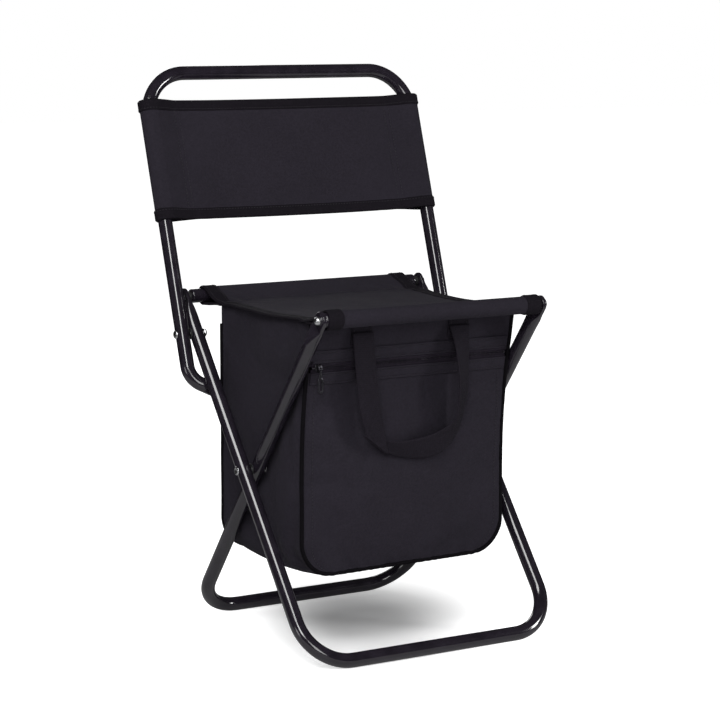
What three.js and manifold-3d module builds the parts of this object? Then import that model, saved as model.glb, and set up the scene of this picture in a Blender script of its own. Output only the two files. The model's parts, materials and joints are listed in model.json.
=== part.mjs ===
// Small folding chair: crossed steel legs, a folding backrest, a fabric seat and a zipped cooler bag below.
// Millimetres, +Z up, front towards -Y. The origin is on the floor, under the middle of the whole chair.
import * as THREE from "three";
import { mergeVertices } from "three/addons/utils/BufferGeometryUtils.js";
import Module from "manifold-3d";

const wasm = await Module();
wasm.setup();

// Leg frames and seat bars
const TUBE_D = 16;
const BEND_R = 52;
const SEAT_BAR_HEIGHT = 374.5;
const SEAT_BAR_SPREAD = 271;
const FOOT_BAR_SPREAD = 287;
const INNER_LEG_SPACING = 282.6;
const EYE_WIDTH = 19;
const EYE_THICKNESS = 5;
const EYE_END = 9;
const EYE_FLAT = 10;
const EYE_TAPER = 22;
const EYE_SQUARENESS = 1.6;
const EYE_END_TURN = THREE.MathUtils.degToRad(67.5);
const CLEARANCE = 0.3;

// Rivets, washers and bolts
const PIN_D = 6;
const HEAD_D = 9.6;
const DOME_HEIGHT = 5;
const LOW_HEAD_HEIGHT = 2;
const RIVET_REACH = 18;
const WASHER_D = 13;
const WASHER_THICKNESS = 0.8;
const BUSH_D = 11;
const BUSH_THICKNESS = 5;
const SPACER_THICKNESS = 1.4;
const NUT_HEIGHT = 3.5;
const NUT_WALL = 1;
const CHAMFER = 0.8;

// Backrest
const BACK_PIVOT_DROP = 48.4;
const BACK_LENGTH = 302;
const BACK_LEAN = THREE.MathUtils.degToRad(17.4);
const TAIL_DROP = 51;
const TAIL_BEND_R = 26;
const TAIL_TURN = THREE.MathUtils.degToRad(60);
const TAIL_OVERRUN = 8;
const PLUG_WALL = 1.2;
const PLUG_DEPTH = 9;
const PLUG_CAP = 2;
const BACK_PANEL_DROP = 34.5;
const BACK_PANEL_HEIGHT = 134.5;
const BACK_SEAM_REACH = 34;
const BACK_SLEEVE_SLACK = 5;
const BACK_BINDING_HEIGHT = 10.5;

// Fabric seat
const FABRIC_THICKNESS = 1.4;
const BINDING_THICKNESS = 1;
const SEAM_WIDTH = 5.6;
const SEAT_WIDTH = 270;
const SEAT_DROP = 5;
const SEAT_SEAM_REACH = 35;
const SEAT_HEM_WIDTH = 16;

// Cooler bag
const BAG_SIDE_GAP = 2.7;
const BAG_BOTTOM = 87;
const BAG_CORNER_R = 40;
const BAG_SEAM_INSET = 1;
const BAG_FRONT_STEP = 21.5;
const BAG_BELLY_REACH = 58;
const FLAP_LEAN = THREE.MathUtils.degToRad(10.5);
const PANEL_THICKNESS = 2.4;
const PIPING_D = 4;
const LINER_THICKNESS = 3;
const LINER_RIM_DROP = 74;

// Zipper
const ZIPPER_DROP = 50.7;
const ZIPPER_WIDTH = 252;
const ZIPPER_OPENING = 20;
const TAPE_HEIGHT = 17;
const TAPE_THICKNESS = 0.6;
const TEETH_D = 2.2;
const STOP_LENGTH = 3;
const SLIDER_LENGTH = 9;
const SLIDER_WALL = 1;
const BRIDGE_BAR = 0.9;
const BRIDGE_WIDTH = 1.2;
const BRIDGE_SPAN = 7;
const PULL_LENGTH = 26;
const PULL_WIDTH = 7;
const PULL_THICKNESS = 1.2;
const PULL_NECK = 3.4;
const PULL_NECK_LENGTH = 7;
const PULL_SHOULDER = 14;
const PULL_EYE_D = 2.2;
const PULL_SLOT_WIDTH = 2.4;
const PULL_SLOT_LENGTH = 9;

// Carry handle
const HANDLE_DROP = 14.7;
const HANDLE_SPACING = 126;
const HANDLE_REACH = 137;
const WEBBING_WIDTH = 25;
const WEBBING_THICKNESS = 1.8;
const HANDLE_END_HEIGHT = 26;

// Facets
const TUBE_SIDES = 16;
const BEND_STEPS = 8;
const TAPER_STEPS = 4;
const END_STEPS = 4;
const TURN_SIDES = 12;
const CORD_SIDES = 8;
const CURVE_STEPS = 8;
const ARC_STEPS = 4;
const SAME_PLACE = 1e-4;

// Places worked out from the driving dimensions
const TUBE_R = TUBE_D / 2;
const TUBE_FLAT = TUBE_R * Math.cos(Math.PI / TUBE_SIDES);
const PIN_HOLE_R = PIN_D / 2 + CLEARANCE;
const LEFT = -1;
const RIGHT = 1;
const X_AXIS = new THREE.Vector3(1, 0, 0);
const UP = new THREE.Vector3(0, 0, 1);

const legRise = SEAT_BAR_HEIGHT - TUBE_FLAT;
const legRun = (SEAT_BAR_SPREAD + FOOT_BAR_SPREAD) / 2;
const legLength = Math.hypot(legRise, legRun);
const legLean = Math.atan2(legRun, legRise);
const crossDrop = (legLength * SEAT_BAR_SPREAD) / (SEAT_BAR_SPREAD + FOOT_BAR_SPREAD);
const innerLegX = INNER_LEG_SPACING / 2;
const outerLegX = innerLegX + TUBE_D + WASHER_THICKNESS + 2 * CLEARANCE;
const uprightX = outerLegX + TUBE_D + SPACER_THICKNESS + 2 * CLEARANCE;
const frontBarX = innerLegX - EYE_THICKNESS / 2 - CLEARANCE;
const rearBarX = outerLegX - EYE_THICKNESS / 2 - BUSH_THICKNESS - 2 * CLEARANCE;
const backPivotY = SEAT_BAR_SPREAD / 2 - BACK_PIVOT_DROP * Math.sin(legLean);
const backPivotZ = SEAT_BAR_HEIGHT - BACK_PIVOT_DROP * Math.cos(legLean);

const sleeveR = TUBE_R + CLEARANCE;
const wrapThickness = CLEARANCE + BINDING_THICKNESS;
const bagX = innerLegX - TUBE_R - BAG_SIDE_GAP;
const bagTop = SEAT_BAR_HEIGHT - SEAT_DROP - FABRIC_THICKNESS / 2 - wrapThickness - CLEARANCE;
const bagRearY = SEAT_BAR_SPREAD / 2 - SEAT_SEAM_REACH - BAG_SEAM_INSET;
const bagTopY = -bagRearY;
const bagFrontY = bagTopY + BAG_FRONT_STEP;
const bellyZ = bagTop - BAG_FRONT_STEP / Math.tan(FLAP_LEAN);
const panelInset = PIPING_D + CLEARANCE;

// Boolean joins and cuts
function toSolid(geometry) {
  const bare = geometry.clone();
  bare.deleteAttribute("normal");
  bare.deleteAttribute("uv");
  const merged = mergeVertices(bare);
  const corners = Array.from(merged.index.array);
  const triangles = [];
  for (let i = 0; i < corners.length; i += 3) {
    const triangle = corners.slice(i, i + 3);
    if (new Set(triangle).size === 3) {
      triangles.push(...triangle);
    }
  }
  const vertProperties = new Float32Array(merged.attributes.position.array);
  const triVerts = new Uint32Array(triangles);
  return new wasm.Manifold(new wasm.Mesh({ numProp: 3, vertProperties, triVerts }));
}

function toGeometry(solid) {
  const mesh = solid.getMesh();
  const geometry = new THREE.BufferGeometry();
  geometry.setAttribute("position", new THREE.BufferAttribute(mesh.vertProperties, 3));
  geometry.setIndex(new THREE.BufferAttribute(mesh.triVerts, 1));
  geometry.computeVertexNormals();
  return geometry;
}

function cut(geometry, ...tools) {
  return toGeometry(tools.reduce((solid, tool) => solid.subtract(toSolid(tool)), toSolid(geometry)));
}

function join(first, second) {
  return toGeometry(toSolid(first).add(toSolid(second)));
}

function common(first, second) {
  return toGeometry(toSolid(first).intersect(toSolid(second)));
}

// Solid of revolution about X, from [radius, x] pairs
function turned(profile) {
  const points = profile.map(([radius, x]) => new THREE.Vector2(radius, x));
  return new THREE.LatheGeometry(points, TURN_SIDES).rotateZ(-Math.PI / 2);
}

function ring(innerR, outerR, length) {
  return turned([[innerR, 0], [outerR, 0], [outerR, length], [innerR, length], [innerR, 0]]);
}

function drill(radius, length, x, z) {
  const cylinder = new THREE.CylinderGeometry(radius, radius, length, TURN_SIDES);
  return cylinder.rotateZ(Math.PI / 2).translate(x, 0, z);
}

// Points of an outline without the doubles where one curve runs into the next
function distinctPoints(path) {
  const points = path.getPoints(ARC_STEPS);
  return points.filter((point, i) => point.distanceTo(points[(i + 1) % points.length]) > SAME_PLACE);
}

function extrude(shape, depth) {
  const points = distinctPoints(shape);
  if (THREE.ShapeUtils.isClockWise(points)) {
    points.reverse();
  }
  const outline = new THREE.Shape(points);
  outline.holes = shape.holes.map((hole) => new THREE.Path(distinctPoints(hole)));
  return new THREE.ExtrudeGeometry(outline, { depth, bevelEnabled: false });
}

// A shape drawn in Y and Z, drawn out along X
function alongX(shape, fromX, toX) {
  const turn = new THREE.Matrix4().makeBasis(new THREE.Vector3(0, 1, 0), UP, X_AXIS);
  return extrude(shape, toX - fromX).applyMatrix4(turn).translate(fromX, 0, 0);
}

// A shape drawn in X and Z, drawn out along Y
function alongY(shape, fromY, toY) {
  return extrude(shape, toY - fromY).rotateX(Math.PI / 2).translate(0, toY, 0);
}

// A shape drawn in X and Y with its top towards the front, drawn out along Z
function alongZ(shape, fromZ, toZ) {
  return extrude(shape, toZ - fromZ).rotateZ(Math.PI).translate(0, 0, fromZ);
}

// Closed solid through a row of rings with the same number of points, capped flat at both ends
function loft(rings) {
  const count = rings[0].length;
  const index = [];
  for (let i = 0; i < rings.length - 1; i += 1) {
    for (let k = 0; k < count; k += 1) {
      const here = i * count + k;
      const next = i * count + ((k + 1) % count);
      index.push(here, next, next + count, here, next + count, here + count);
    }
  }
  const last = (rings.length - 1) * count;
  for (let k = 1; k < count - 1; k += 1) {
    index.push(0, k + 1, k);
    index.push(last, last + k, last + k + 1);
  }
  const geometry = new THREE.BufferGeometry().setFromPoints(rings.flat());
  geometry.setIndex(index);
  geometry.computeVertexNormals();
  return geometry;
}

// Stations along a polyline with its corners rounded to true arcs: a place and a direction of travel
function bentPath(corners, radii) {
  const directions = corners.slice(1).map((corner, i) => corner.clone().sub(corners[i]).normalize());
  const stations = [{ at: corners[0], along: directions[0] }];
  for (let i = 1; i < corners.length - 1; i += 1) {
    const into = directions[i - 1];
    const turn = into.angleTo(directions[i]);
    const axis = into.clone().cross(directions[i]).normalize();
    const start = corners[i].clone().addScaledVector(into, -radii[i - 1] * Math.tan(turn / 2));
    const spoke = into.clone().cross(axis).multiplyScalar(radii[i - 1]);
    const center = start.clone().sub(spoke);
    for (let k = 0; k <= BEND_STEPS; k += 1) {
      const angle = (turn * k) / BEND_STEPS;
      stations.push({
        at: spoke.clone().applyAxisAngle(axis, angle).add(center),
        along: into.clone().applyAxisAngle(axis, angle),
      });
    }
  }
  stations.push({ at: corners.at(-1), along: directions.at(-1) });
  return stations;
}

// Solid swept along stations, its section given by pairs across the path and square to that
function sweep(stations, across, sectionAt) {
  const side = across.clone();
  let before = stations[0].along;
  const rings = stations.map((station) => {
    side.applyQuaternion(new THREE.Quaternion().setFromUnitVectors(before, station.along));
    before = station.along;
    const square = station.along.clone().cross(side);
    return sectionAt(station).map(([u, v]) =>
      station.at.clone().addScaledVector(side, u).addScaledVector(square, v),
    );
  });
  return loft(rings);
}

// Tube section, round or pressed flat, with a facet facing the turn angle
function tubeSection({ halfThickness, halfWidth, press }, sides, turn) {
  return Array.from({ length: sides }, (_, k) => {
    const angle = turn + ((k + 0.5) * 2 * Math.PI) / sides;
    const flattened = THREE.MathUtils.clamp(press * Math.cos(angle), -1, 1);
    return [halfThickness * flattened, halfWidth * Math.sin(angle)];
  });
}

function roundShape(radius) {
  return { halfThickness: radius, halfWidth: radius, press: 1 };
}

// Finishes
const paintedSteel = { color: 0x1b1b1e, roughness: 0.35, metalness: 0.4 };
const brightSteel = { color: 0xc9cacc, roughness: 0.25, metalness: 1 };
const blackPlastic = { color: 0x161618, roughness: 0.55, metalness: 0 };
const polyester = { color: 0x2b292f, roughness: 0.9, metalness: 0 };
const tapeFabric = { color: 0x1c161e, roughness: 0.85, metalness: 0 };
const foil = { color: 0xb9bcc0, roughness: 0.35, metalness: 0.7 };

function part(name, geometry, finish) {
  const mesh = new THREE.Mesh(geometry, new THREE.MeshStandardMaterial(finish));
  mesh.name = name;
  return mesh;
}

function sideName(side) {
  return side === LEFT ? "left" : "right";
}

// A turned piece on an axis along X, its far end pointing away from the middle of the chair
function outward(mesh, side, x, z) {
  mesh.position.set(side * x, 0, z);
  mesh.rotation.z = side === LEFT ? Math.PI : 0;
  return mesh;
}

// Leg frames: bent tubes whose top ends are pressed flat to round-ended eyes for the seat bar rivets
function eyeShapes() {
  const flat = { halfThickness: EYE_THICKNESS / 2, halfWidth: EYE_WIDTH / 2, press: EYE_SQUARENESS };
  const shapes = [];
  for (let k = END_STEPS; k > 0; k -= 1) {
    const angle = (k * EYE_END_TURN) / END_STEPS;
    shapes.push({ drop: -EYE_END * Math.sin(angle), ...flat, halfWidth: flat.halfWidth * Math.cos(angle) });
  }
  for (let k = 0; k <= TAPER_STEPS; k += 1) {
    const share = THREE.MathUtils.smoothstep(k, 0, TAPER_STEPS);
    shapes.push({
      drop: EYE_FLAT + (EYE_TAPER * k) / TAPER_STEPS,
      halfThickness: THREE.MathUtils.lerp(flat.halfThickness, TUBE_R, share),
      halfWidth: THREE.MathUtils.lerp(flat.halfWidth, TUBE_R, share),
      press: THREE.MathUtils.lerp(flat.press, 1, share),
    });
  }
  return shapes;
}

function legFrame(halfSpacing, turn, holes) {
  const corners = [
    new THREE.Vector3(-halfSpacing, 0, 0),
    new THREE.Vector3(-halfSpacing, 0, -legLength),
    new THREE.Vector3(halfSpacing, 0, -legLength),
    new THREE.Vector3(halfSpacing, 0, 0),
  ];
  const bends = bentPath(corners, [BEND_R, BEND_R]).slice(1, -1);
  const leftEye = eyeShapes().map((shape) => ({
    at: new THREE.Vector3(-halfSpacing, 0, -shape.drop),
    along: UP.clone().negate(),
    shape,
  }));
  const rightEye = eyeShapes().reverse().map((shape) => ({
    at: new THREE.Vector3(halfSpacing, 0, -shape.drop),
    along: UP.clone(),
    shape,
  }));
  const tube = sweep([...leftEye, ...bends, ...rightEye], X_AXIS, (station) =>
    tubeSection(station.shape ?? roundShape(TUBE_R), TUBE_SIDES, turn),
  );
  const drills = holes.flatMap((drop) => [
    drill(PIN_HOLE_R, 2 * TUBE_D, -halfSpacing, -drop),
    drill(PIN_HOLE_R, 2 * TUBE_D, halfSpacing, -drop),
  ]);
  return cut(tube, ...drills);
}

// Straight seat bar with chamfered ends and a blind bore in each end
function seatBar(halfLength) {
  const boreEnd = halfLength - RIVET_REACH - CLEARANCE;
  return turned([
    [0, -boreEnd],
    [PIN_HOLE_R, -boreEnd],
    [PIN_HOLE_R, -halfLength],
    [TUBE_R - CHAMFER, -halfLength],
    [TUBE_R, -halfLength + CHAMFER],
    [TUBE_R, halfLength - CHAMFER],
    [TUBE_R - CHAMFER, halfLength],
    [PIN_HOLE_R, halfLength],
    [PIN_HOLE_R, boreEnd],
    [0, boreEnd],
  ]);
}

// Pin with a domed head, the underside of the head at zero and the pin towards -X
function domedPin(pinLength, headHeight) {
  const headR = HEAD_D / 2;
  const dome = Array.from({ length: END_STEPS + 1 }, (_, k) => {
    const angle = (k * Math.PI) / 2 / END_STEPS;
    return [k === END_STEPS ? 0 : headR * Math.cos(angle), headHeight * Math.sin(angle)];
  });
  return turned([[0, -pinLength], [PIN_D / 2, -pinLength], [PIN_D / 2, 0], [headR, 0], ...dome.slice(1)]);
}

// Rivet with a low head at both ends, its middle at zero
function pivotRivet(gripLength) {
  const half = gripLength / 2;
  const end = half + LOW_HEAD_HEIGHT;
  const headR = HEAD_D / 2;
  const faceR = headR - CHAMFER;
  return turned([
    [0, -end], [faceR, -end], [headR, -end + CHAMFER], [headR, -half], [PIN_D / 2, -half],
    [PIN_D / 2, half], [headR, half], [headR, end - CHAMFER], [faceR, end], [0, end],
  ]);
}

function capNut() {
  const headR = HEAD_D / 2;
  const boreDepth = NUT_HEIGHT - NUT_WALL;
  return turned([
    [0, boreDepth], [PIN_HOLE_R, boreDepth], [PIN_HOLE_R, 0], [headR, 0],
    [headR, NUT_HEIGHT - CHAMFER], [headR - CHAMFER, NUT_HEIGHT], [0, NUT_HEIGHT],
  ]);
}

function buildOuterLegs() {
  const legs = new THREE.Group();
  legs.position.set(0, SEAT_BAR_SPREAD / 2, SEAT_BAR_HEIGHT);
  legs.rotation.x = -legLean;
  const holes = [0, crossDrop, BACK_PIVOT_DROP];
  legs.add(part("outer_leg_frame", legFrame(outerLegX, legLean, holes), paintedSteel));
  legs.add(part("rear_seat_bar", seatBar(rearBarX), paintedSteel));
  const eyeOuterX = outerLegX + EYE_THICKNESS / 2 + CLEARANCE;
  const crossMiddleX = (innerLegX + outerLegX) / 2;
  const crossGrip = outerLegX - innerLegX + TUBE_D + 2 * CLEARANCE;
  for (const side of [LEFT, RIGHT]) {
    const name = sideName(side);
    const rivetPin = domedPin(eyeOuterX - rearBarX + RIVET_REACH, DOME_HEIGHT);
    const rivet = part(`rear_bar_rivet_${name}`, rivetPin, brightSteel);
    const bush = part(`rear_bar_bush_${name}`, ring(PIN_HOLE_R, BUSH_D / 2, BUSH_THICKNESS), blackPlastic);
    const pivot = part(`pivot_rivet_${name}`, pivotRivet(crossGrip), brightSteel);
    const washerRing = ring(PIN_HOLE_R, WASHER_D / 2, WASHER_THICKNESS);
    const washer = part(`pivot_washer_${name}`, washerRing, blackPlastic);
    legs.add(outward(rivet, side, eyeOuterX, 0));
    legs.add(outward(bush, side, rearBarX + CLEARANCE, 0));
    legs.add(outward(pivot, side, crossMiddleX, -crossDrop));
    legs.add(outward(washer, side, innerLegX + TUBE_R + CLEARANCE, -crossDrop));
    const boltX = uprightX + TUBE_R + CLEARANCE;
    const nutX = outerLegX - TUBE_R - CLEARANCE;
    const boltPin = domedPin(boltX - nutX + NUT_HEIGHT - NUT_WALL - CLEARANCE, LOW_HEAD_HEIGHT);
    const bolt = part(`backrest_bolt_${name}`, boltPin, brightSteel);
    const nut = part(`backrest_nut_${name}`, capNut(), brightSteel);
    const spacerRing = ring(PIN_HOLE_R, WASHER_D / 2, SPACER_THICKNESS);
    const spacer = part(`backrest_spacer_${name}`, spacerRing, blackPlastic);
    legs.add(outward(bolt, side, boltX, -BACK_PIVOT_DROP));
    legs.add(outward(nut, -side, -nutX, -BACK_PIVOT_DROP));
    legs.add(outward(spacer, side, outerLegX + TUBE_R + CLEARANCE, -BACK_PIVOT_DROP));
  }
  return legs;
}

function buildInnerLegs() {
  const legs = new THREE.Group();
  legs.position.set(0, -SEAT_BAR_SPREAD / 2, SEAT_BAR_HEIGHT);
  legs.rotation.x = legLean;
  legs.add(part("inner_leg_frame", legFrame(innerLegX, -legLean, [0, crossDrop]), paintedSteel));
  legs.add(part("front_seat_bar", seatBar(frontBarX), paintedSteel));
  const eyeOuterX = innerLegX + EYE_THICKNESS / 2 + CLEARANCE;
  for (const side of [LEFT, RIGHT]) {
    const pin = domedPin(eyeOuterX - frontBarX + RIVET_REACH, DOME_HEIGHT);
    legs.add(outward(part(`front_bar_rivet_${sideName(side)}`, pin, brightSteel), side, eyeOuterX, 0));
  }
  return legs;
}

// Distance between the axes of a backrest tail and of the outer leg beside it, for a tail tilted forward
function tailDistance(tilt) {
  const offset = new THREE.Vector3(outerLegX - uprightX, 0, -TAIL_DROP);
  const leg = new THREE.Vector3(0, -Math.sin(legLean - BACK_LEAN), -Math.cos(legLean - BACK_LEAN));
  const square = leg.cross(tailDirection(RIGHT, tilt)).normalize();
  return Math.abs(offset.dot(square));
}

function tailDirection(inwardX, tilt) {
  return new THREE.Vector3(
    inwardX * Math.sin(TAIL_TURN) * Math.cos(tilt),
    -Math.sin(TAIL_TURN) * Math.sin(tilt),
    -Math.cos(TAIL_TURN),
  );
}

// The tilt at which the tails just rest on the rear of the outer legs and stop the backrest
function restingTilt() {
  let low = -Math.PI / 4;
  let high = Math.PI / 4;
  const halvings = 40;
  for (let k = 0; k < halvings; k += 1) {
    const middle = (low + high) / 2;
    if (tailDistance(middle) > TUBE_D + CLEARANCE) {
      low = middle;
    } else {
      high = middle;
    }
  }
  return low;
}

// Backrest frame: uprights, top bar and the two inward tails, with a bore in each tail end for its plug
function buildBackrest() {
  const back = new THREE.Group();
  back.position.set(0, backPivotY, backPivotZ);
  back.rotation.x = -BACK_LEAN;
  const tilt = restingTilt();
  const tailLength = (uprightX - outerLegX) / (Math.sin(TAIL_TURN) * Math.cos(tilt)) + TAIL_OVERRUN;
  const tails = [LEFT, RIGHT].map((side) => {
    const along = tailDirection(-side, tilt);
    const bend = new THREE.Vector3(side * uprightX, 0, -TAIL_DROP);
    return { side, along, bend, end: bend.clone().addScaledVector(along, tailLength) };
  });
  const corners = [
    tails[0].end,
    tails[0].bend,
    new THREE.Vector3(-uprightX, 0, BACK_LENGTH),
    new THREE.Vector3(uprightX, 0, BACK_LENGTH),
    tails[1].bend,
    tails[1].end,
  ];
  const stations = bentPath(corners, [TAIL_BEND_R, BEND_R, BEND_R, TAIL_BEND_R]);
  const startTurn = new THREE.Quaternion().setFromUnitVectors(UP, stations[0].along);
  const tube = sweep(stations, X_AXIS.clone().applyQuaternion(startTurn), () =>
    tubeSection(roundShape(TUBE_R), TUBE_SIDES, BACK_LEAN),
  );
  const plugR = TUBE_R - PLUG_WALL;
  const bores = tails.map(({ along, end }) => {
    const length = 2 * PLUG_DEPTH;
    const bore = new THREE.CylinderGeometry(plugR, plugR, length, TURN_SIDES).rotateX(Math.PI / 2);
    bore.applyQuaternion(new THREE.Quaternion().setFromUnitVectors(UP, along));
    return bore.translate(end.x, end.y, end.z);
  });
  const pivots = [LEFT, RIGHT].map((side) => drill(PIN_HOLE_R, 2 * TUBE_D, side * uprightX, 0));
  back.add(part("backrest_frame", cut(tube, ...bores, ...pivots), paintedSteel));
  for (const { side, along, end } of tails) {
    const insertR = plugR - CLEARANCE;
    const insertDepth = PLUG_DEPTH - CLEARANCE;
    const plug = part(`backrest_plug_${sideName(side)}`, turned([
      [0, -insertDepth], [insertR, -insertDepth], [insertR, CLEARANCE], [TUBE_R, CLEARANCE],
      [TUBE_R, PLUG_CAP - CHAMFER], [TUBE_R - CHAMFER, PLUG_CAP], [0, PLUG_CAP],
    ]), blackPlastic);
    plug.position.copy(end);
    plug.quaternion.setFromUnitVectors(X_AXIS, along);
    back.add(plug);
  }
  back.add(...buildBackPanel());
  return back;
}

// Sling outline: a flat sheet between two bars, its ends folded round the bars and sewn back at a seam
function slingLoop({ halfSpan, slack, reach, drop }, radius, halfThickness) {
  const seamX = halfSpan - reach;
  const nearX = halfSpan - slack;
  const above = halfThickness - drop;
  const below = halfThickness + drop;
  const over = seamTouch(nearX, radius, seamX, above);
  const under = seamTouch(nearX, radius, seamX, below);
  const loop = new THREE.Shape();
  loop.moveTo(-seamX, above);
  loop.lineTo(seamX, above);
  loop.absarc(nearX, 0, radius, over, Math.PI / 2, true);
  loop.absarc(halfSpan, 0, radius, Math.PI / 2, -Math.PI / 2, true);
  loop.absarc(nearX, 0, radius, -Math.PI / 2, -under, true);
  loop.lineTo(seamX, -below);
  loop.lineTo(-seamX, -below);
  loop.absarc(-nearX, 0, radius, under - Math.PI, -Math.PI / 2, true);
  loop.absarc(-halfSpan, 0, radius, -Math.PI / 2, -1.5 * Math.PI, true);
  loop.absarc(-nearX, 0, radius, Math.PI / 2, Math.PI - over, true);
  return loop;
}

// Angle at which a line from the seam touches the upper side of a sleeve
function seamTouch(centerX, radius, seamX, seamY) {
  const reach = centerX - seamX;
  const toSeam = Math.PI - Math.atan(seamY / reach);
  return toSeam - Math.acos(radius / Math.hypot(reach, seamY));
}

// The room for one bar inside its sleeve
function sleeveRoom({ halfSpan, slack, reach, drop }, side) {
  const tipX = halfSpan - reach + SEAM_WIDTH;
  const tipY = (-drop * (reach - SEAM_WIDTH)) / reach;
  const nearX = halfSpan - slack;
  const over = seamTouch(nearX, sleeveR, tipX, tipY);
  const under = seamTouch(nearX, sleeveR, tipX, -tipY);
  const room = new THREE.Path();
  room.absarc(nearX, 0, sleeveR, over, Math.PI / 2, true);
  room.absarc(halfSpan, 0, sleeveR, Math.PI / 2, -Math.PI / 2, true);
  room.absarc(nearX, 0, sleeveR, -Math.PI / 2, -under, true);
  room.lineTo(tipX, tipY);
  const points = distinctPoints(room).map((point) => new THREE.Vector2(side * point.x, point.y));
  return new THREE.Path(points);
}

function slingSheet(sling) {
  const sheet = slingLoop(sling, sleeveR + FABRIC_THICKNESS, FABRIC_THICKNESS / 2);
  sheet.holes.push(sleeveRoom(sling, LEFT), sleeveRoom(sling, RIGHT));
  return sheet;
}

// Tape wrapped round the whole sling along one edge
function slingBinding(sling) {
  const tape = thickLoop(sling);
  tape.holes.push(slingLoop(sling, sleeveR + FABRIC_THICKNESS + CLEARANCE, FABRIC_THICKNESS / 2 + CLEARANCE));
  return tape;
}

// Edge of the sling folded over to a thicker band
function slingHem(sling) {
  const band = thickLoop(sling);
  band.holes.push(sleeveRoom(sling, LEFT), sleeveRoom(sling, RIGHT));
  return band;
}

function thickLoop(sling) {
  return slingLoop(sling, sleeveR + FABRIC_THICKNESS + wrapThickness, FABRIC_THICKNESS / 2 + wrapThickness);
}

function buildBackPanel() {
  const sling = { halfSpan: uprightX, slack: BACK_SLEEVE_SLACK, reach: BACK_SEAM_REACH, drop: 0 };
  const top = BACK_LENGTH - BACK_PANEL_DROP;
  const bottom = top - BACK_PANEL_HEIGHT;
  const tape = slingBinding(sling);
  return [
    part("backrest_panel", alongZ(slingSheet(sling), bottom, top), polyester),
    part("backrest_bottom_binding", alongZ(tape, bottom, bottom + BACK_BINDING_HEIGHT), tapeFabric),
    part("backrest_top_binding", alongZ(tape, top - BACK_BINDING_HEIGHT, top), tapeFabric),
  ];
}

function buildSeat() {
  const seat = new THREE.Group();
  seat.position.z = SEAT_BAR_HEIGHT;
  const sling = { halfSpan: SEAT_BAR_SPREAD / 2, slack: 0, reach: SEAT_SEAM_REACH, drop: SEAT_DROP };
  const halfWidth = SEAT_WIDTH / 2;
  const hemX = halfWidth - SEAT_HEM_WIDTH;
  const panelX = hemX - CLEARANCE;
  const hem = slingHem(sling);
  seat.add(part("seat_panel", alongX(slingSheet(sling), -panelX, panelX), polyester));
  seat.add(part("seat_hem_left", alongX(hem, -halfWidth, -hemX), polyester));
  seat.add(part("seat_hem_right", alongX(hem, hemX, halfWidth), polyester));
  return seat;
}

// Front outline of the bag in Y and Z from the top down: a leaning flap, a soft belly curve, a straight front
function bagFront(shiftY, topZ) {
  const bellyStart = bellyZ + BAG_BELLY_REACH;
  const curve = new THREE.QuadraticBezierCurve(
    new THREE.Vector2(flapY(bellyStart), bellyStart),
    new THREE.Vector2(bagFrontY, bellyZ),
    new THREE.Vector2(bagFrontY, bellyZ - BAG_BELLY_REACH),
  );
  const points = [
    new THREE.Vector2(flapY(topZ), topZ),
    ...curve.getPoints(CURVE_STEPS),
    new THREE.Vector2(bagFrontY, BAG_BOTTOM - BAG_CORNER_R),
  ];
  return points.map((point) => new THREE.Vector2(point.x + shiftY, point.y));
}

function flapY(z) {
  return bagTopY + (bagTop - z) * Math.tan(FLAP_LEAN);
}

// Outline of the bag seen from the front, from its top left round the bottom corners to its top right
function bagOutline(inset, topZ) {
  const x = bagX - inset;
  const bottom = BAG_BOTTOM + inset;
  const radius = BAG_CORNER_R - inset;
  const path = new THREE.Path();
  path.moveTo(-x, topZ);
  path.lineTo(-x, bottom + radius);
  path.absarc(radius - x, bottom + radius, radius, Math.PI, 1.5 * Math.PI, false);
  path.absarc(x - radius, bottom + radius, radius, 1.5 * Math.PI, 2 * Math.PI, false);
  path.lineTo(x, topZ);
  return path.getPoints(ARC_STEPS);
}

// The space between the front and rear of the bag, seen from the side
function bagSide(inset) {
  const rearY = bagRearY - inset;
  const points = bagFront(inset, bagTop);
  points.push(new THREE.Vector2(rearY, points.at(-1).y), new THREE.Vector2(rearY, bagTop));
  return alongX(new THREE.Shape(points), -bagX, bagX);
}

function bagBlock(outlineInset, sideInset, topZ) {
  const outline = new THREE.Shape(bagOutline(outlineInset, topZ));
  return common(alongY(outline, bagTopY, bagRearY), bagSide(sideInset));
}

// Cord sewn into the seam between a panel and the gusset
function piping(depthAt) {
  const outline = bagOutline(PIPING_D / 2, bagTop);
  const leftTop = outline.shift();
  const rightTop = outline.pop();
  const fall = bagFront(0, leftTop.y).map((point) => point.y).filter((z) => z > outline[0].y);
  const rows = [
    ...fall.map((z) => new THREE.Vector2(leftTop.x, z)),
    ...outline,
    ...fall.reverse().map((z) => new THREE.Vector2(rightTop.x, z)),
  ];
  const places = rows.map((row) => new THREE.Vector3(row.x, depthAt(row.y), row.y));
  const stations = places.map((at, i) => {
    const before = places[Math.max(i - 1, 0)];
    const after = places[Math.min(i + 1, places.length - 1)];
    return { at, along: after.clone().sub(before).normalize() };
  });
  return sweep(stations, X_AXIS, () => tubeSection(roundShape(PIPING_D / 2), CORD_SIDES, 0));
}

// Depth of the bag's front face at a height
function frontDepth(z) {
  const points = bagFront(0, bagTop);
  const next = Math.max(points.findIndex((point) => point.y <= z), 1);
  const below = points[next];
  const above = points[next - 1];
  return THREE.MathUtils.mapLinear(z, below.y, above.y, below.x, above.x);
}

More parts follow.
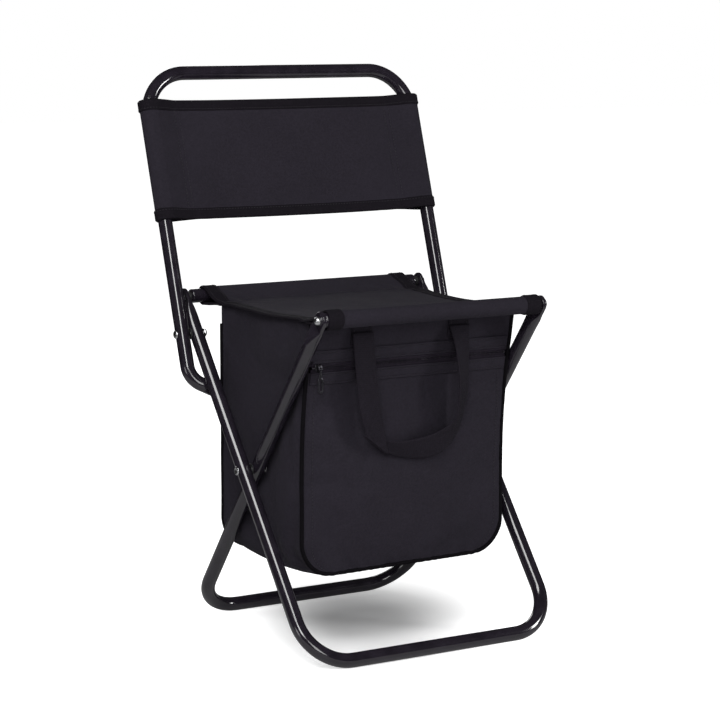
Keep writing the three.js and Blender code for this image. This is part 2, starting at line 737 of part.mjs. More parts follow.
function buildBag() {
  const bag = new THREE.Group();
  const panelX = bagX - panelInset;
  const zipperTop = flapHeight(ZIPPER_DROP - ZIPPER_OPENING / 2);
  const zipperBottom = flapHeight(ZIPPER_DROP + ZIPPER_OPENING / 2);
  const sheet = new THREE.Shape([
    ...bagFront(0, bagTop),
    ...bagFront(PANEL_THICKNESS, bagTop).reverse(),
  ]);
  const frontSheet = alongX(sheet, -panelX, panelX);
  const frontOutline = new THREE.Shape(bagOutline(panelInset, zipperBottom));
  bag.add(part("bag_front_panel", common(frontSheet, alongY(frontOutline, bagTopY, 0)), polyester));
  const flap = new THREE.Shape([
    new THREE.Vector2(flapY(bagTop), bagTop),
    new THREE.Vector2(flapY(zipperTop), zipperTop),
    new THREE.Vector2(flapY(zipperTop) + PANEL_THICKNESS, zipperTop),
    new THREE.Vector2(flapY(bagTop) + PANEL_THICKNESS, bagTop),
  ]);
  bag.add(part("bag_flap", alongX(flap, -panelX, panelX), polyester));
  const backOutline = new THREE.Shape(bagOutline(panelInset, bagTop));
  bag.add(part("bag_back_panel", alongY(backOutline, bagRearY - PANEL_THICKNESS, bagRearY), polyester));
  const strip = new THREE.Shape([
    ...bagOutline(0, bagTop),
    ...bagOutline(PANEL_THICKNESS, bagTop).reverse(),
  ]);
  bag.add(part("bag_gusset", common(alongY(strip, bagTopY, bagRearY), bagSide(panelInset)), polyester));
  const linerTop = bagTop - LINER_RIM_DROP;
  const linerInset = PANEL_THICKNESS + CLEARANCE;
  const linerOuter = bagBlock(linerInset, panelInset, linerTop);
  const linerRoom = bagBlock(linerInset + LINER_THICKNESS, panelInset + LINER_THICKNESS, bagTop);
  bag.add(part("bag_liner", cut(linerOuter, linerRoom), foil));
  bag.add(part("bag_front_piping", piping((z) => frontDepth(z) + PIPING_D / 2), tapeFabric));
  bag.add(part("bag_back_piping", piping(() => bagRearY - PIPING_D / 2), tapeFabric));
  bag.add(buildFlapTrim());
  return bag;
}

// Height of a line across the flap, measured down along the flap from its top
function flapHeight(drop) {
  return bagTop - drop * Math.cos(FLAP_LEAN);
}

// Zipper and sewn handle ends, on the leaning flap: its front face is Y zero and its top edge Z zero
function buildFlapTrim() {
  const trim = new THREE.Group();
  trim.position.set(0, bagTopY, bagTop);
  trim.rotation.x = FLAP_LEAN;
  const zipper = new THREE.Group();
  zipper.position.z = -ZIPPER_DROP;
  const tapeFront = -CLEARANCE - TAPE_THICKNESS;
  const teethR = TEETH_D / 2;
  const tapeEdge = teethR + CLEARANCE;
  const halfWidth = ZIPPER_WIDTH / 2;
  const tapes = { zipper_upper_tape: tapeEdge, zipper_lower_tape: -tapeEdge - TAPE_HEIGHT };
  for (const [name, low] of Object.entries(tapes)) {
    const section = rectangle(tapeFront, low, TAPE_THICKNESS, TAPE_HEIGHT);
    zipper.add(part(name, alongX(section, -halfWidth, halfWidth), tapeFabric));
  }
  const teethY = tapeFront + TAPE_THICKNESS / 2;
  const teethX = halfWidth - STOP_LENGTH - 2 * CLEARANCE;
  const rod = turned([[0, -teethX], [teethR, -teethX], [teethR, teethX], [0, teethX]]);
  const teeth = part("zipper_teeth", rod, blackPlastic);
  teeth.position.y = teethY;
  zipper.add(teeth);
  for (const side of [LEFT, RIGHT]) {
    const stop = part(`zipper_stop_${sideName(side)}`, turned([
      [0, 0], [teethR, 0], [teethR, STOP_LENGTH - CHAMFER], [teethR - CHAMFER, STOP_LENGTH], [0, STOP_LENGTH],
    ]), paintedSteel);
    zipper.add(outward(stop, side, teethX + CLEARANCE, 0));
    stop.position.y = teethY;
    const webbingFront = -CLEARANCE - WEBBING_THICKNESS;
    const webbing = rectangle(webbingFront, -HANDLE_END_HEIGHT / 2, WEBBING_THICKNESS, HANDLE_END_HEIGHT);
    const end = alongX(webbing, -WEBBING_WIDTH / 2, WEBBING_WIDTH / 2);
    const sewnEnd = part(`handle_end_${sideName(side)}`, end, tapeFabric);
    sewnEnd.position.set((side * HANDLE_SPACING) / 2, 0, -HANDLE_DROP);
    trim.add(sewnEnd);
  }
  zipper.add(buildSlider(teethY, teethX));
  trim.add(zipper);
  return trim;
}

function rectangle(x, y, width, height) {
  return new THREE.Shape([
    new THREE.Vector2(x, y),
    new THREE.Vector2(x + width, y),
    new THREE.Vector2(x + width, y + height),
    new THREE.Vector2(x, y + height),
  ]);
}

// Slider: a channel over the teeth with a bridge on its face, and a pull tab looped round the bridge
function buildSlider(teethY, teethX) {
  const slider = new THREE.Group();
  slider.position.x = SLIDER_LENGTH / 2 + CLEARANCE - teethX;
  const teethR = TEETH_D / 2;
  const insideZ = teethR + CLEARANCE;
  const outsideZ = insideZ + SLIDER_WALL;
  const flangeY = -2 * CLEARANCE - TAPE_THICKNESS;
  const insideY = teethY - teethR - CLEARANCE;
  const faceY = insideY - SLIDER_WALL;
  const channel = new THREE.Shape([
    new THREE.Vector2(flangeY, outsideZ),
    new THREE.Vector2(faceY, outsideZ),
    new THREE.Vector2(faceY, -outsideZ),
    new THREE.Vector2(flangeY, -outsideZ),
    new THREE.Vector2(flangeY, -insideZ),
    new THREE.Vector2(insideY, -insideZ),
    new THREE.Vector2(insideY, insideZ),
    new THREE.Vector2(flangeY, insideZ),
  ]);
  const body = alongX(channel, -SLIDER_LENGTH / 2, SLIDER_LENGTH / 2);
  const pullEyeR = PULL_EYE_D / 2;
  const pullOuterR = pullEyeR + PULL_THICKNESS / 2;
  const barY = faceY - pullOuterR - CLEARANCE;
  const bridgeTop = barY - BRIDGE_BAR / 2;
  const foot = SLIDER_WALL / 2;
  const arch = rectangle(-BRIDGE_SPAN / 2, bridgeTop, BRIDGE_SPAN, faceY - bridgeTop + foot);
  const roomX = BRIDGE_SPAN / 2 - BRIDGE_WIDTH;
  arch.holes.push(rectangle(-roomX, bridgeTop + BRIDGE_BAR, 2 * roomX, faceY - bridgeTop - BRIDGE_BAR));
  const bridge = extrude(arch, BRIDGE_WIDTH).translate(0, 0, -BRIDGE_WIDTH / 2);
  slider.add(part("zipper_slider", join(body, bridge), paintedSteel));
  const pull = part("zipper_pull", pullTab(pullEyeR, pullOuterR), paintedSteel);
  pull.position.y = barY;
  pull.rotation.x = -FLAP_LEAN;
  slider.add(pull);
  return slider;
}

// Pull tab: an eye that turns on the bridge bar, a narrow neck and a round-ended grip with a slot
function pullTab(eyeR, outerR) {
  const eye = new THREE.Shape();
  eye.absarc(0, 0, outerR, 0, 2 * Math.PI, false);
  const hole = new THREE.Path();
  hole.absarc(0, 0, eyeR, 0, 2 * Math.PI, true);
  eye.holes.push(hole);
  const barrel = alongX(eye, -PULL_NECK / 2, PULL_NECK / 2);
  const gripR = PULL_WIDTH / 2;
  const grip = new THREE.Shape();
  grip.moveTo(-PULL_NECK / 2, -(eyeR + outerR) / 2);
  grip.lineTo(-PULL_NECK / 2, -PULL_NECK_LENGTH);
  grip.lineTo(-gripR, -PULL_SHOULDER);
  grip.absarc(0, gripR - PULL_LENGTH, gripR, Math.PI, 2 * Math.PI, false);
  grip.lineTo(gripR, -PULL_SHOULDER);
  grip.lineTo(PULL_NECK / 2, -PULL_NECK_LENGTH);
  grip.lineTo(PULL_NECK / 2, -(eyeR + outerR) / 2);
  const slotR = PULL_SLOT_WIDTH / 2;
  const slotEnd = gripR - PULL_LENGTH;
  const slot = new THREE.Path();
  slot.absarc(0, slotEnd, slotR, 0, Math.PI, true);
  slot.absarc(0, slotEnd + PULL_SLOT_LENGTH - PULL_SLOT_WIDTH, slotR, Math.PI, 0, true);
  grip.holes.push(slot);
  return join(barrel, alongY(grip, -PULL_THICKNESS / 2, PULL_THICKNESS / 2));
}

// Webbing loop that hangs straight down from the sewn ends
function buildHandle() {
  const outerR = (HANDLE_SPACING + WEBBING_WIDTH) / 2;
  const innerR = outerR - WEBBING_WIDTH;
  const bowZ = outerR - HANDLE_REACH;
  const loop = new THREE.Shape();
  loop.moveTo(-outerR, 0);
  loop.lineTo(-outerR, bowZ);
  loop.absarc(0, bowZ, outerR, Math.PI, 2 * Math.PI, false);
  loop.lineTo(outerR, 0);
  loop.lineTo(innerR, 0);
  loop.absarc(0, bowZ, innerR, 2 * Math.PI, Math.PI, true);
  loop.lineTo(-innerR, 0);
  const webbing = alongY(loop, -WEBBING_THICKNESS / 2, WEBBING_THICKNESS / 2);
  const strap = part("handle_strap", webbing, tapeFabric);
  const hingeZ = flapHeight(HANDLE_DROP);
  const layers = (WEBBING_THICKNESS + CLEARANCE) / Math.cos(FLAP_LEAN);
  strap.position.set(0, flapY(hingeZ) - layers - CLEARANCE - WEBBING_THICKNESS / 2, hingeZ);
  return strap;
}

const rearMostY = backPivotY + BACK_LENGTH * Math.sin(BACK_LEAN) + TUBE_FLAT;
const frontMostY = -FOOT_BAR_SPREAD / 2 - TUBE_FLAT;

const chair = new THREE.Group();
chair.name = "folding_cooler_stool";
chair.position.y = -(rearMostY + frontMostY) / 2;
chair.add(buildOuterLegs(), buildInnerLegs(), buildBackrest(), buildSeat(), buildBag(), buildHandle());

export default chair;
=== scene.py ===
import json
import math

import bmesh
import bpy
import numpy as np
from mathutils import Matrix, Vector, noise


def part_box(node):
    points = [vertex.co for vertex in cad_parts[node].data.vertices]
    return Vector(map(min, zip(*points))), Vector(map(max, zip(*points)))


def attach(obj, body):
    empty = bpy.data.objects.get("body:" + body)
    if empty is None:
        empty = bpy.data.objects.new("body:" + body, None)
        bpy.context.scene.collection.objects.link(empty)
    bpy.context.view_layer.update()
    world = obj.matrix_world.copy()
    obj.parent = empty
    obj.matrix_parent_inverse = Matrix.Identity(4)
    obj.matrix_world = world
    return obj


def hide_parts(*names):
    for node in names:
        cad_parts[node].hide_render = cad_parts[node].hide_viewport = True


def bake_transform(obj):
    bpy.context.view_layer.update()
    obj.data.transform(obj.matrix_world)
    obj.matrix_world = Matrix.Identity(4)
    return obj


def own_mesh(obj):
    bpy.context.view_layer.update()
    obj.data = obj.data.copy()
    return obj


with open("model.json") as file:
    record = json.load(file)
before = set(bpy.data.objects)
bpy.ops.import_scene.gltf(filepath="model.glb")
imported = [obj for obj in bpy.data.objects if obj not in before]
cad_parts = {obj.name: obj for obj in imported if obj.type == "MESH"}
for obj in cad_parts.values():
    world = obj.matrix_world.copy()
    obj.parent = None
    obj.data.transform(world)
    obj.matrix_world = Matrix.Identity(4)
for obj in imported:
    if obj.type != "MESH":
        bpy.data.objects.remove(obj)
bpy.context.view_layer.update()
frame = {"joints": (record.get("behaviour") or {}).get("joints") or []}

# Sizes of the steel frame in metres
TUBE_R = 0.008
BEND_R = 0.052
EYE_HALF_WIDTH = 0.0095
EYE_HALF_THICKNESS = 0.0025
EYE_END = 0.009
EYE_FLAT = 0.010
EYE_TAPER = 0.022
EYE_TIP = 0.001
TAIL_DROP = 0.051
TAIL_BEND_R = 0.026
TAIL_PAST_PLUG = 0.003
BAR_CHAMFER = 0.001
PIN_R = 0.003
HEAD_R = 0.0048
DOME_HEIGHT = 0.005
BOLT_HEIGHT = 0.002
PEENED_HEIGHT = 0.002
BORE_R = 0.0033
BUSH_R = 0.0055
WASHER_R = 0.0065
FINE_CUT = 0.0003
BAR_CUT = 0.0008
PLUG_CUT = 0.0006

# Sizes of the slings in metres
CLOTH = 0.0014
LAYER_GAP = 0.0002
SLEEVE_R = 0.0090
SEAM_ALLOWANCE = 0.006
SEAM_DROOP = 0.0003
SEAM_PUCKER = 0.0005
PUCKER_WIDTH = 0.006
PUCKER_PITCH = 0.007
SEAM_SOFTENING = 0.02
CORNER_FOLD_REACH = 0.03
SEAT_HALF_WIDTH = 0.135
SEAT_DROP = 0.005
SEAT_SEAM = 0.035
SEAT_HEM = 0.016
SEAT_HEM_THICKNESS = 0.0028
SEAT_HEM_LIFT = 0.00065
SEAT_SAG = 0.003
SEAT_WAIST = 0.004
SEAT_RIPPLE = 0.0009
SEAT_CORNER_FOLDS = 0.0011
SEAT_LOOSE_PAST_SEAM = 0.012
BACK_SEAM = 0.034
BACK_SLACK = 0.005
BACK_BINDING = 0.0105
BACK_BINDING_PAST_EDGE = 0.0012
BACK_BINDING_THICKNESS = 0.0031
BACK_BINDING_LIFT = 0.0006
BACK_BINDING_LESS_ON_SLEEVE = 0.0004
BACK_PANEL_INSET = 0.002
BACK_LOOSE_PAST_SEAM = 0.014
BACK_FOLD_INSET = 0.02
BACK_BOW = 0.004
BACK_RIPPLE = 0.0008
BACK_CORNER_FOLDS = 0.0004
BACK_TWIST = 0.0018

# Sizes of the bag in metres
BAG_CORNER_R = 0.038
PIPING_R = 0.002
CORD_R = 0.0023
CORD_LIFT = 0.0006
CORD_PROUD = 0.0008
PANEL = 0.0022
LINER = 0.0012
LINER_GAP = 0.0016
BELLY_LOW = 0.1932
BELLY_HIGH = 0.3092
FRONT_FULLNESS = 0.007
REAR_FULLNESS = 0.004
GUSSET_DEPTH = 0.19
BOTTOM_FULLNESS = 0.0055
SIDE_FULLNESS = 0.0012
SIDE_DENTS = 0.0042
SIDE_FOLDS = 0.0011
SIDE_RIDGE = 0.0040
TOP_TUCK = 0.006
SIDE_EASE = 0.0015
SIDE_LIMIT = 0.1345
LEG_DENT = 0.0022
RIVET_DENT = 0.0030
REAR_CORD_BELOW_TOP = 0.018

# Ranges in metres over which a form comes or goes
HEM_WRAP_PAST_SEAM = (0.004, 0.02)
BULGE_ABOVE_BOTTOM = (-0.004, 0.05)
BULGE_BELOW_ZIPPER = (-0.075, -0.01)
REAR_BULGE_ABOVE_BOTTOM = (0, 0.06)
REAR_BULGE_BELOW_TOP = (-0.07, 0)
LOPSIDED_ABOVE_BOTTOM = (0, 0.12)
SIDES_BELOW_TOP = (0.02, 0.10)
TUCK_BELOW_TOP = (0, 0.055)
RIDGE_BELOW_TOP = (0.09, 0.20)
HELD_BELOW_ZIPPER = (-0.045, -0.026)
PUCKER_FROM_ZIPPER = (0.006, 0.014)
DENT_FROM_LEG = (0.006, 0.022)
DENT_FROM_RIVET = (0.007, 0.024)

# Slopes, shares and settings of the bag
FLAP_LEAN = math.radians(10.5)
FLAP_SLOPE = math.tan(FLAP_LEAN)
LOPSIDED = 0.0115
SEAM_HOLD = 0.8
FILL_FRAMES = 24
FILL_SETTINGS = {
    "quality": 6, "mass": 0.1, "tension_stiffness": 80, "compression_stiffness": 80, "shear_stiffness": 40,
    "bending_stiffness": 2, "air_damping": 2, "shrink_min": -0.008, "use_pressure": True,
    "uniform_pressure_force": 0.16, "vertex_group_mass": "held",
}

# Sizes of the zipper, the strap and the stitches in metres
ZIPPER_HALF_WIDTH = 0.126
ZIPPER_PUCKER = 0.0014
ZIPPER_PUCKER_REACH = 0.02
TAPE_GAP = 0.0014
TAPE_END = 0.0080
TAPE = 0.0007
TAPE_LIFT = 0.0004
FOLD_START = 0.0060
FOLD_END = 0.0184
FOLD = 0.0017
FOLD_LIFT = 0.0014
FOLD_ROLL = 0.0009
FOLD_ROLL_WIDTH = 0.0016
FOLD_GROOVE = 0.0007
FOLD_GROOVE_WIDTH = 0.0007
COIL_INSET = 0.002
COIL_R = 0.0012
COIL_OFFSET = 0.0011
COIL_LIFT = 0.0009
COIL_THREAD_R = 0.00034
SLIDER_HALF_LENGTH = 0.0045
SLIDER_HALF_WIDTH = 0.0034
SLIDER_FLARE = 0.0009
GRIP_HALF_WIDTH = 0.0024
GRIP_BELOW_HINGE = 0.0125
GRIP_END_INSET = 0.0035
PULL_EYE_R = 0.0013
PULL_NECK_END = 0.0105
WEBBING_HALF_WIDTH = 0.0125
WEBBING = 0.0018
STRAP_END_LIFT = 0.0013
STRAP_END_ROLL = 0.0003
HANDLE_HALF_SPACING = 0.0625
HANDLE_SHIFT = -0.0045
STITCH = 0.0027
STITCH_PITCH = 0.0037
THREAD_R = 0.00032

# Counts of points, turns and rows
TUBE_SIDES = 36
TURNED_SIDES = 40
BEND_STEPS = 24
SEAM_STEPS = 12
COIL_TURNS = 190
COIL_STEPS_PER_TURN = 7
FOLD_SEAMS = (3, 18)
PANEL_STITCH_INSET = 2

X_AXIS = (1, 0, 0)
FORWARD = (0, -1, 0)
UP = (0, 0, 1)
SIDES = {"left": -1, "right": 1}


# Places and curves
def middle(node):
    low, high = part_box(node)
    return (low + high) / 2


def unit(vectors):
    length = np.linalg.norm(vectors, axis=-1, keepdims=True)
    return vectors / np.maximum(length, 1e-12)


def smooth(value, low, high):
    """Smooth step from 0 at low to 1 at high."""
    share = np.clip((np.asarray(value, float) - low) / (high - low), 0, 1)
    return share * share * (3 - 2 * share)


def hump(value, center, width):
    """Smooth hump of height 1 round a center."""
    return np.exp(-((value - center) / width) ** 2)


def ripples(x, y, scale, seed):
    """Soft random heights between about -1 and 1 over a plane."""
    all_x, all_y = np.broadcast_arrays(x, y)
    pairs = zip(all_x.ravel(), all_y.ravel())
    heights = [noise.noise(Vector((a / scale, b / scale, seed))) for a, b in pairs]
    return np.array(heights).reshape(all_x.shape)


def circle(sides):
    return 2 * math.pi * np.arange(sides) / sides


def ring_about_x(center, ahead, radius, angles):
    """Points round the X axis through a center, ahead of it along X."""
    y, z = center.y + radius * np.cos(angles), center.z + radius * np.sin(angles)
    return np.stack([np.full(len(angles), center.x + ahead), y, z], axis=1)


def travelled(line):
    """The way along a line at each of its points."""
    return np.concatenate([[0], np.cumsum(np.linalg.norm(np.diff(line, axis=0), axis=1))])


def at_travel(wanted, travel, line):
    """Places at wanted ways along a line."""
    return np.stack([np.interp(wanted, travel, column) for column in line.T], axis=-1)


def curve_through(points, count):
    """Smooth curve through points, as a Catmull-Rom spline."""
    ends = np.vstack([2 * points[0] - points[1], points, 2 * points[-1] - points[-2]])
    made = []
    for value in np.linspace(0, len(points) - 1, count):
        k = min(int(value), len(points) - 2)
        t = value - k
        a, b, c, d = ends[k:k + 4]
        made.append(0.5 * (2 * b + (c - a) * t + (2 * a - 5 * b + 4 * c - d) * t**2
                           + (3 * b - a - 3 * c + d) * t**3))
    return np.array(made)


def bent_path(corners, radii, steps=BEND_STEPS):
    """Places and directions along a polyline with its corners rounded to arcs."""
    corners = [Vector(corner) for corner in corners]
    directions = [(b - a).normalized() for a, b in zip(corners, corners[1:])]
    stations = [(corners[0], directions[0])]
    for corner, radius, into, out in zip(corners[1:], radii, directions, directions[1:]):
        turn = into.angle(out)
        axis = into.cross(out).normalized()
        start = corner - into * (radius * math.tan(turn / 2))
        spoke = into.cross(axis) * radius
        for k in range(steps + 1):
            swing = Matrix.Rotation(turn * k / steps, 3, axis)
            stations.append((start - spoke + swing @ spoke, swing @ into))
    stations.append((corners[-1], directions[-1]))
    return stations


def point_path(points, closed=False):
    """Places and directions along points."""
    points = np.asarray(points, float)
    if closed:
        ways = np.roll(points, -1, axis=0) - np.roll(points, 1, axis=0)
    else:
        ways = np.gradient(points, axis=0)
    return [(Vector(place), Vector(way)) for place, way in zip(points, unit(ways))]


def swept(stations, across, section_at):
    """Rings of points along stations, each from pairs across the path and square to that."""
    side = Vector(across)
    before = stations[0][1]
    rings = []
    for index, (place, along) in enumerate(stations):
        side = before.rotation_difference(along) @ side
        before = along
        square = along.cross(side)
        rings.append([tuple(place + side * u + square * v) for u, v in section_at(index)])
    return np.array(rings)


def oval(half_u, half_v, power, sides):
    """Outline between an ellipse (power 2) and a box with round corners (higher powers)."""
    angles = 2 * math.pi * (np.arange(sides) + 0.5) / sides
    c, s = np.cos(angles), np.sin(angles)
    u = half_u * np.sign(c) * np.abs(c) ** (2 / power)
    v = half_v * np.sign(s) * np.abs(s) ** (2 / power)
    return list(zip(u, v))


# Node materials
materials = {}


class Nodes:
    """A node tree with short ways to add nodes and to join or set their sockets."""

    def __init__(self, owner):
        owner.use_nodes = True
        self.tree = owner.node_tree

    def add(self, kind, sockets=None, **settings):
        node = self.tree.nodes.new("ShaderNode" + kind)
        for key, value in settings.items():
            setattr(node, key, value)
        self.feed(node, sockets or {})
        return node

    def feed(self, node, sockets):
        """Joins outputs to a node's sockets, or sets the sockets' own values."""
        for key, value in sockets.items():
            if isinstance(value, bpy.types.NodeSocket):
                self.tree.links.new(value, node.inputs[key])
            else:
                node.inputs[key].default_value = value

    def math(self, operation, *values):
        return self.add("Math", dict(enumerate(values)), operation=operation).outputs[0]

    def distance(self, vector):
        return self.add("VectorMath", {0: vector}, operation="LENGTH").outputs["Value"]

    def smooth_range(self, value, start, end, low, high):
        """Smooth step of a value from start to end, given as low to high."""
        sockets = {"Value": value, "From Min": start, "From Max": end, "To Min": low, "To Max": high}
        return self.add("MapRange", sockets, interpolation_type="SMOOTHSTEP").outputs["Result"]


class Surface(Nodes):
    """A material on the object's own coordinates."""

    def __init__(self, name, metallic=0.0, specular=0.5):
        self.name = name
        self.material = bpy.data.materials.new(name)
        super().__init__(self.material)
        self.shader = self.tree.nodes["Principled BSDF"]
        self.feed(self.shader, {"Metallic": metallic, "Specular IOR Level": specular})
        self.place = self.add("TexCoord").outputs["Object"]

    def noise(self, scale, detail=3.0, roughness=0.55):
        sockets = {"Vector": self.place, "Scale": scale, "Detail": detail, "Roughness": roughness}
        return self.add("TexNoise", sockets).outputs["Fac"]

    def ramp(self, factor, low, high, start=0.3, end=0.7):
        """Colours or greys from low to high as a factor goes from start to end."""
        node = self.add("ValToRGB", {"Fac": factor})
        for stop, place, tone in zip(node.color_ramp.elements, (start, end), (low, high)):
            stop.position = place
            stop.color = (*tone, 1) if isinstance(tone, tuple) else (tone, tone, tone, 1)
        return node.outputs["Color"]

    def bump(self, height, distance, strength, **below):
        sockets = {"Height": height, "Distance": distance, "Strength": strength, **below}
        return self.add("Bump", sockets).outputs["Normal"]

    def finish(self, color, roughness, normal):
        self.feed(self.shader, {"Base Color": color, "Roughness": roughness, "Normal": normal})
        materials[self.name] = self.material


def painted_material(name, dark, light):
    """Black stove enamel: orange peel, fine dust and a few rubbed patches."""
    coat = Surface(name, specular=0.7)
    color = coat.ramp(coat.noise(60, 4), dark, light, 0.35, 0.75)
    roughness = coat.ramp(coat.noise(23, 5, 0.7), 0.10, 0.16, 0.4, 0.8)
    coat.finish(color, roughness, coat.bump(coat.noise(900, 2), 0.000012, 0.15))


def metal_material(name, dark, light, smoothest, dullest, scale):
    """Bare metal with a brushed grain and patches of duller wear."""
    metal = Surface(name, metallic=1.0)
    wear = metal.noise(scale, 5, 0.65)
    grain = metal.bump(metal.noise(scale * 9), 0.00005, 0.5)
    metal.finish(metal.ramp(wear, dark, light), metal.ramp(wear, dullest, smoothest), grain)


def plastic_material(name, dark, light, specular):
    """Moulded plastic with a fine grain and uneven gloss."""
    mould = Surface(name, specular=specular)
    tone = mould.noise(90)
    grain = mould.bump(mould.noise(1500, 2), 0.00005, 0.5)
    mould.finish(mould.ramp(tone, dark, light), mould.ramp(tone, 0.42, 0.56), grain)


def woven_material(name, dark, light, warp, weft, height, sheen):
    """Plain weave on the cloth's own coordinates, with slubs, rubbing and a soft sheen."""
    cloth = Surface(name, specular=0.04)
    flat = cloth.add("SeparateXYZ", {0: cloth.add("UVMap", uv_map="cloth").outputs["UV"]}).outputs
    u = cloth.math("DIVIDE", flat[0], warp)
    v = cloth.math("DIVIDE", flat[1], weft)
    odd = cloth.math("PINGPONG", cloth.math("ADD", cloth.math("FLOOR", u), cloth.math("FLOOR", v)), 1.0)
    up, level = (cloth.math("ABSOLUTE", cloth.math("SINE", cloth.math("MULTIPLY", way, math.pi)))
                 for way in (u, v))
    over = cloth.math("MULTIPLY", up, odd)
    under = cloth.math("MULTIPLY", level, cloth.math("SUBTRACT", 1.0, odd))
    weave = cloth.math("ADD", over, under)
    slub = cloth.noise(420, 4, 0.7)
    rub = cloth.noise(14, 5, 0.6)
    patches = cloth.math("MULTIPLY_ADD", slub, 0.75, cloth.math("MULTIPLY", rub, 0.35))
    color = cloth.ramp(cloth.math("MULTIPLY_ADD", weave, 0.40, patches), dark, light, 0.45, 1.0)
    body = cloth.math("MULTIPLY_ADD", slub, 0.6, weave)
    soft = cloth.bump(cloth.noise(38), 0.0018, 0.5)
    sheen_color = (0.55, 0.54, 0.60, 1)
    cloth.feed(cloth.shader, {"Sheen Weight": sheen, "Sheen Roughness": 0.45, "Sheen Tint": sheen_color})
    cloth.finish(color, cloth.ramp(rub, 0.72, 0.88), cloth.bump(body, height, 0.6, Normal=soft))


def foil_material(name, dark, light):
    """Crinkled foil."""
    sheet = Surface(name, metallic=0.85)
    sockets = {"Scale": 45, "Vector": sheet.place}
    crease = sheet.add("TexVoronoi", sockets, feature="DISTANCE_TO_EDGE").outputs["Distance"]
    tone = sheet.noise(25, 4)
    sheet.finish(sheet.ramp(tone, dark, light), sheet.ramp(tone, 0.28, 0.42), sheet.bump(crease, 0.002, 0.5))


def thread_material(name, dark, light):
    """Twisted thread."""
    yarn = Surface(name, specular=0.3)
    ply = yarn.noise(2600, 2)
    yarn.finish(yarn.ramp(ply, dark, light), yarn.ramp(ply, 0.55, 0.75), yarn.bump(ply, 0.0001, 0.6))


painted_material("painted_tube", (0.0086, 0.0068, 0.0105), (0.0161, 0.0130, 0.0191))
metal_material("bright_steel", (0.45, 0.45, 0.46), (0.66, 0.66, 0.67), 0.16, 0.30, 300)
metal_material("zipper_metal", (0.028, 0.026, 0.031), (0.072, 0.070, 0.079), 0.26, 0.44, 400)
plastic_material("black_plastic", (0.014, 0.014, 0.015), (0.024, 0.024, 0.025), 0.4)
plastic_material("zipper_coil", (0.0117, 0.0094, 0.0141), (0.0254, 0.0210, 0.0302), 0.11)
woven_material("polyester", (0.0103, 0.0088, 0.0121), (0.0217, 0.0189, 0.0260),
               warp=0.0009, weft=0.0009, height=0.00022, sheen=0.028)
# Binding tape; also laid on the seat's hems as a painted shade along the seat's edges
woven_material("binding_tape", (0.0040, 0.0033, 0.0047), (0.0100, 0.0083, 0.0114),
               warp=0.0016, weft=0.0007, height=0.00022, sheen=0.014)
woven_material("webbing", (0.0064, 0.0053, 0.0075), (0.0147, 0.0124, 0.0172),
               warp=0.0012, weft=0.0022, height=0.0004, sheen=0.020)
woven_material("piping_cord", (0.0017, 0.0014, 0.0019), (0.0044, 0.0038, 0.0050),
               warp=0.0016, weft=0.0007, height=0.00022, sheen=0.0)
woven_material("zipper_tape", (0.0077, 0.0062, 0.0095), (0.0194, 0.0157, 0.0228),
               warp=0.0011, weft=0.0026, height=0.0003, sheen=0.014)
foil_material("foil_liner", (0.42, 0.43, 0.44), (0.62, 0.63, 0.65))
thread_material("thread", (0.007, 0.006, 0.0083), (0.0195, 0.0172, 0.0222))


# Meshes
def new_mesh(name, points, faces):
    mesh = bpy.data.meshes.new(name)
    mesh.from_pydata([tuple(point) for point in points], [], faces)
    return mesh


def new_object(name, data):
    made = bpy.data.objects.new(name, data)
    bpy.context.scene.collection.objects.link(made)
    return made


def add_piece(name, points, faces, finish, cloth=None):
    """A smooth mesh in a finish; cloth gives each point's place on the flat cloth."""
    mesh = new_mesh(name, points, faces)
    mesh.polygons.foreach_set("use_smooth", [True] * len(mesh.polygons))
    if cloth is not None:
        layer = mesh.uv_layers.new(name="cloth")
        corners = np.empty(len(mesh.loops), dtype=np.int32)
        mesh.loops.foreach_get("vertex_index", corners)
        layer.data.foreach_set("uv", np.asarray(cloth, float)[corners].ravel())
    work = bmesh.new()
    work.from_mesh(mesh)
    bmesh.ops.recalc_face_normals(work, faces=work.faces)
    work.to_mesh(mesh)
    work.free()
    mesh.materials.append(materials[finish])
    piece = new_object(name, mesh)
    return piece


def settle(piece, body, *nodes):
    """Sets a piece on its body and hides the nodes it stands for."""
    if nodes:
        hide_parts(*nodes)
    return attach(piece, body)


def grid_faces(rows, columns, start=0, wrap_rows=False, wrap_columns=False):
    faces = []
    for i in range(rows if wrap_rows else rows - 1):
        upper = start + i * columns
        lower = start + (i + 1) % rows * columns
        for j in range(columns if wrap_columns else columns - 1):
            k = (j + 1) % columns
            faces.append((upper + j, upper + k, lower + k, lower + j))
    return faces


def tube_faces(rows, columns, start=0, closed=False):
    """Faces round rings of points, with a cap at both ends unless the rings close on themselves."""
    faces = grid_faces(rows, columns, start, wrap_rows=closed, wrap_columns=True)
    if not closed:
        last = start + (rows - 1) * columns
        faces += [tuple(range(start, start + columns)), tuple(range(last, last + columns))]
    return faces


def tube_piece(name, rings, finish, closed=False):
    """Closed solid through rings of points."""
    rows, columns = rings.shape[:2]
    travel = np.cumsum(np.linalg.norm(np.diff(rings[:, 0], axis=0, prepend=rings[:1, 0]), axis=1))
    girth = np.linalg.norm(rings[:, 1] - rings[:, 0], axis=1).mean() * np.arange(columns)
    cloth = cloth_map(travel, girth).reshape(-1, 2)
    return add_piece(name, rings.reshape(-1, 3), tube_faces(rows, columns, 0, closed), finish, cloth)


def cloth_map(travel, across):
    return np.stack(np.meshgrid(across, travel), axis=-1)


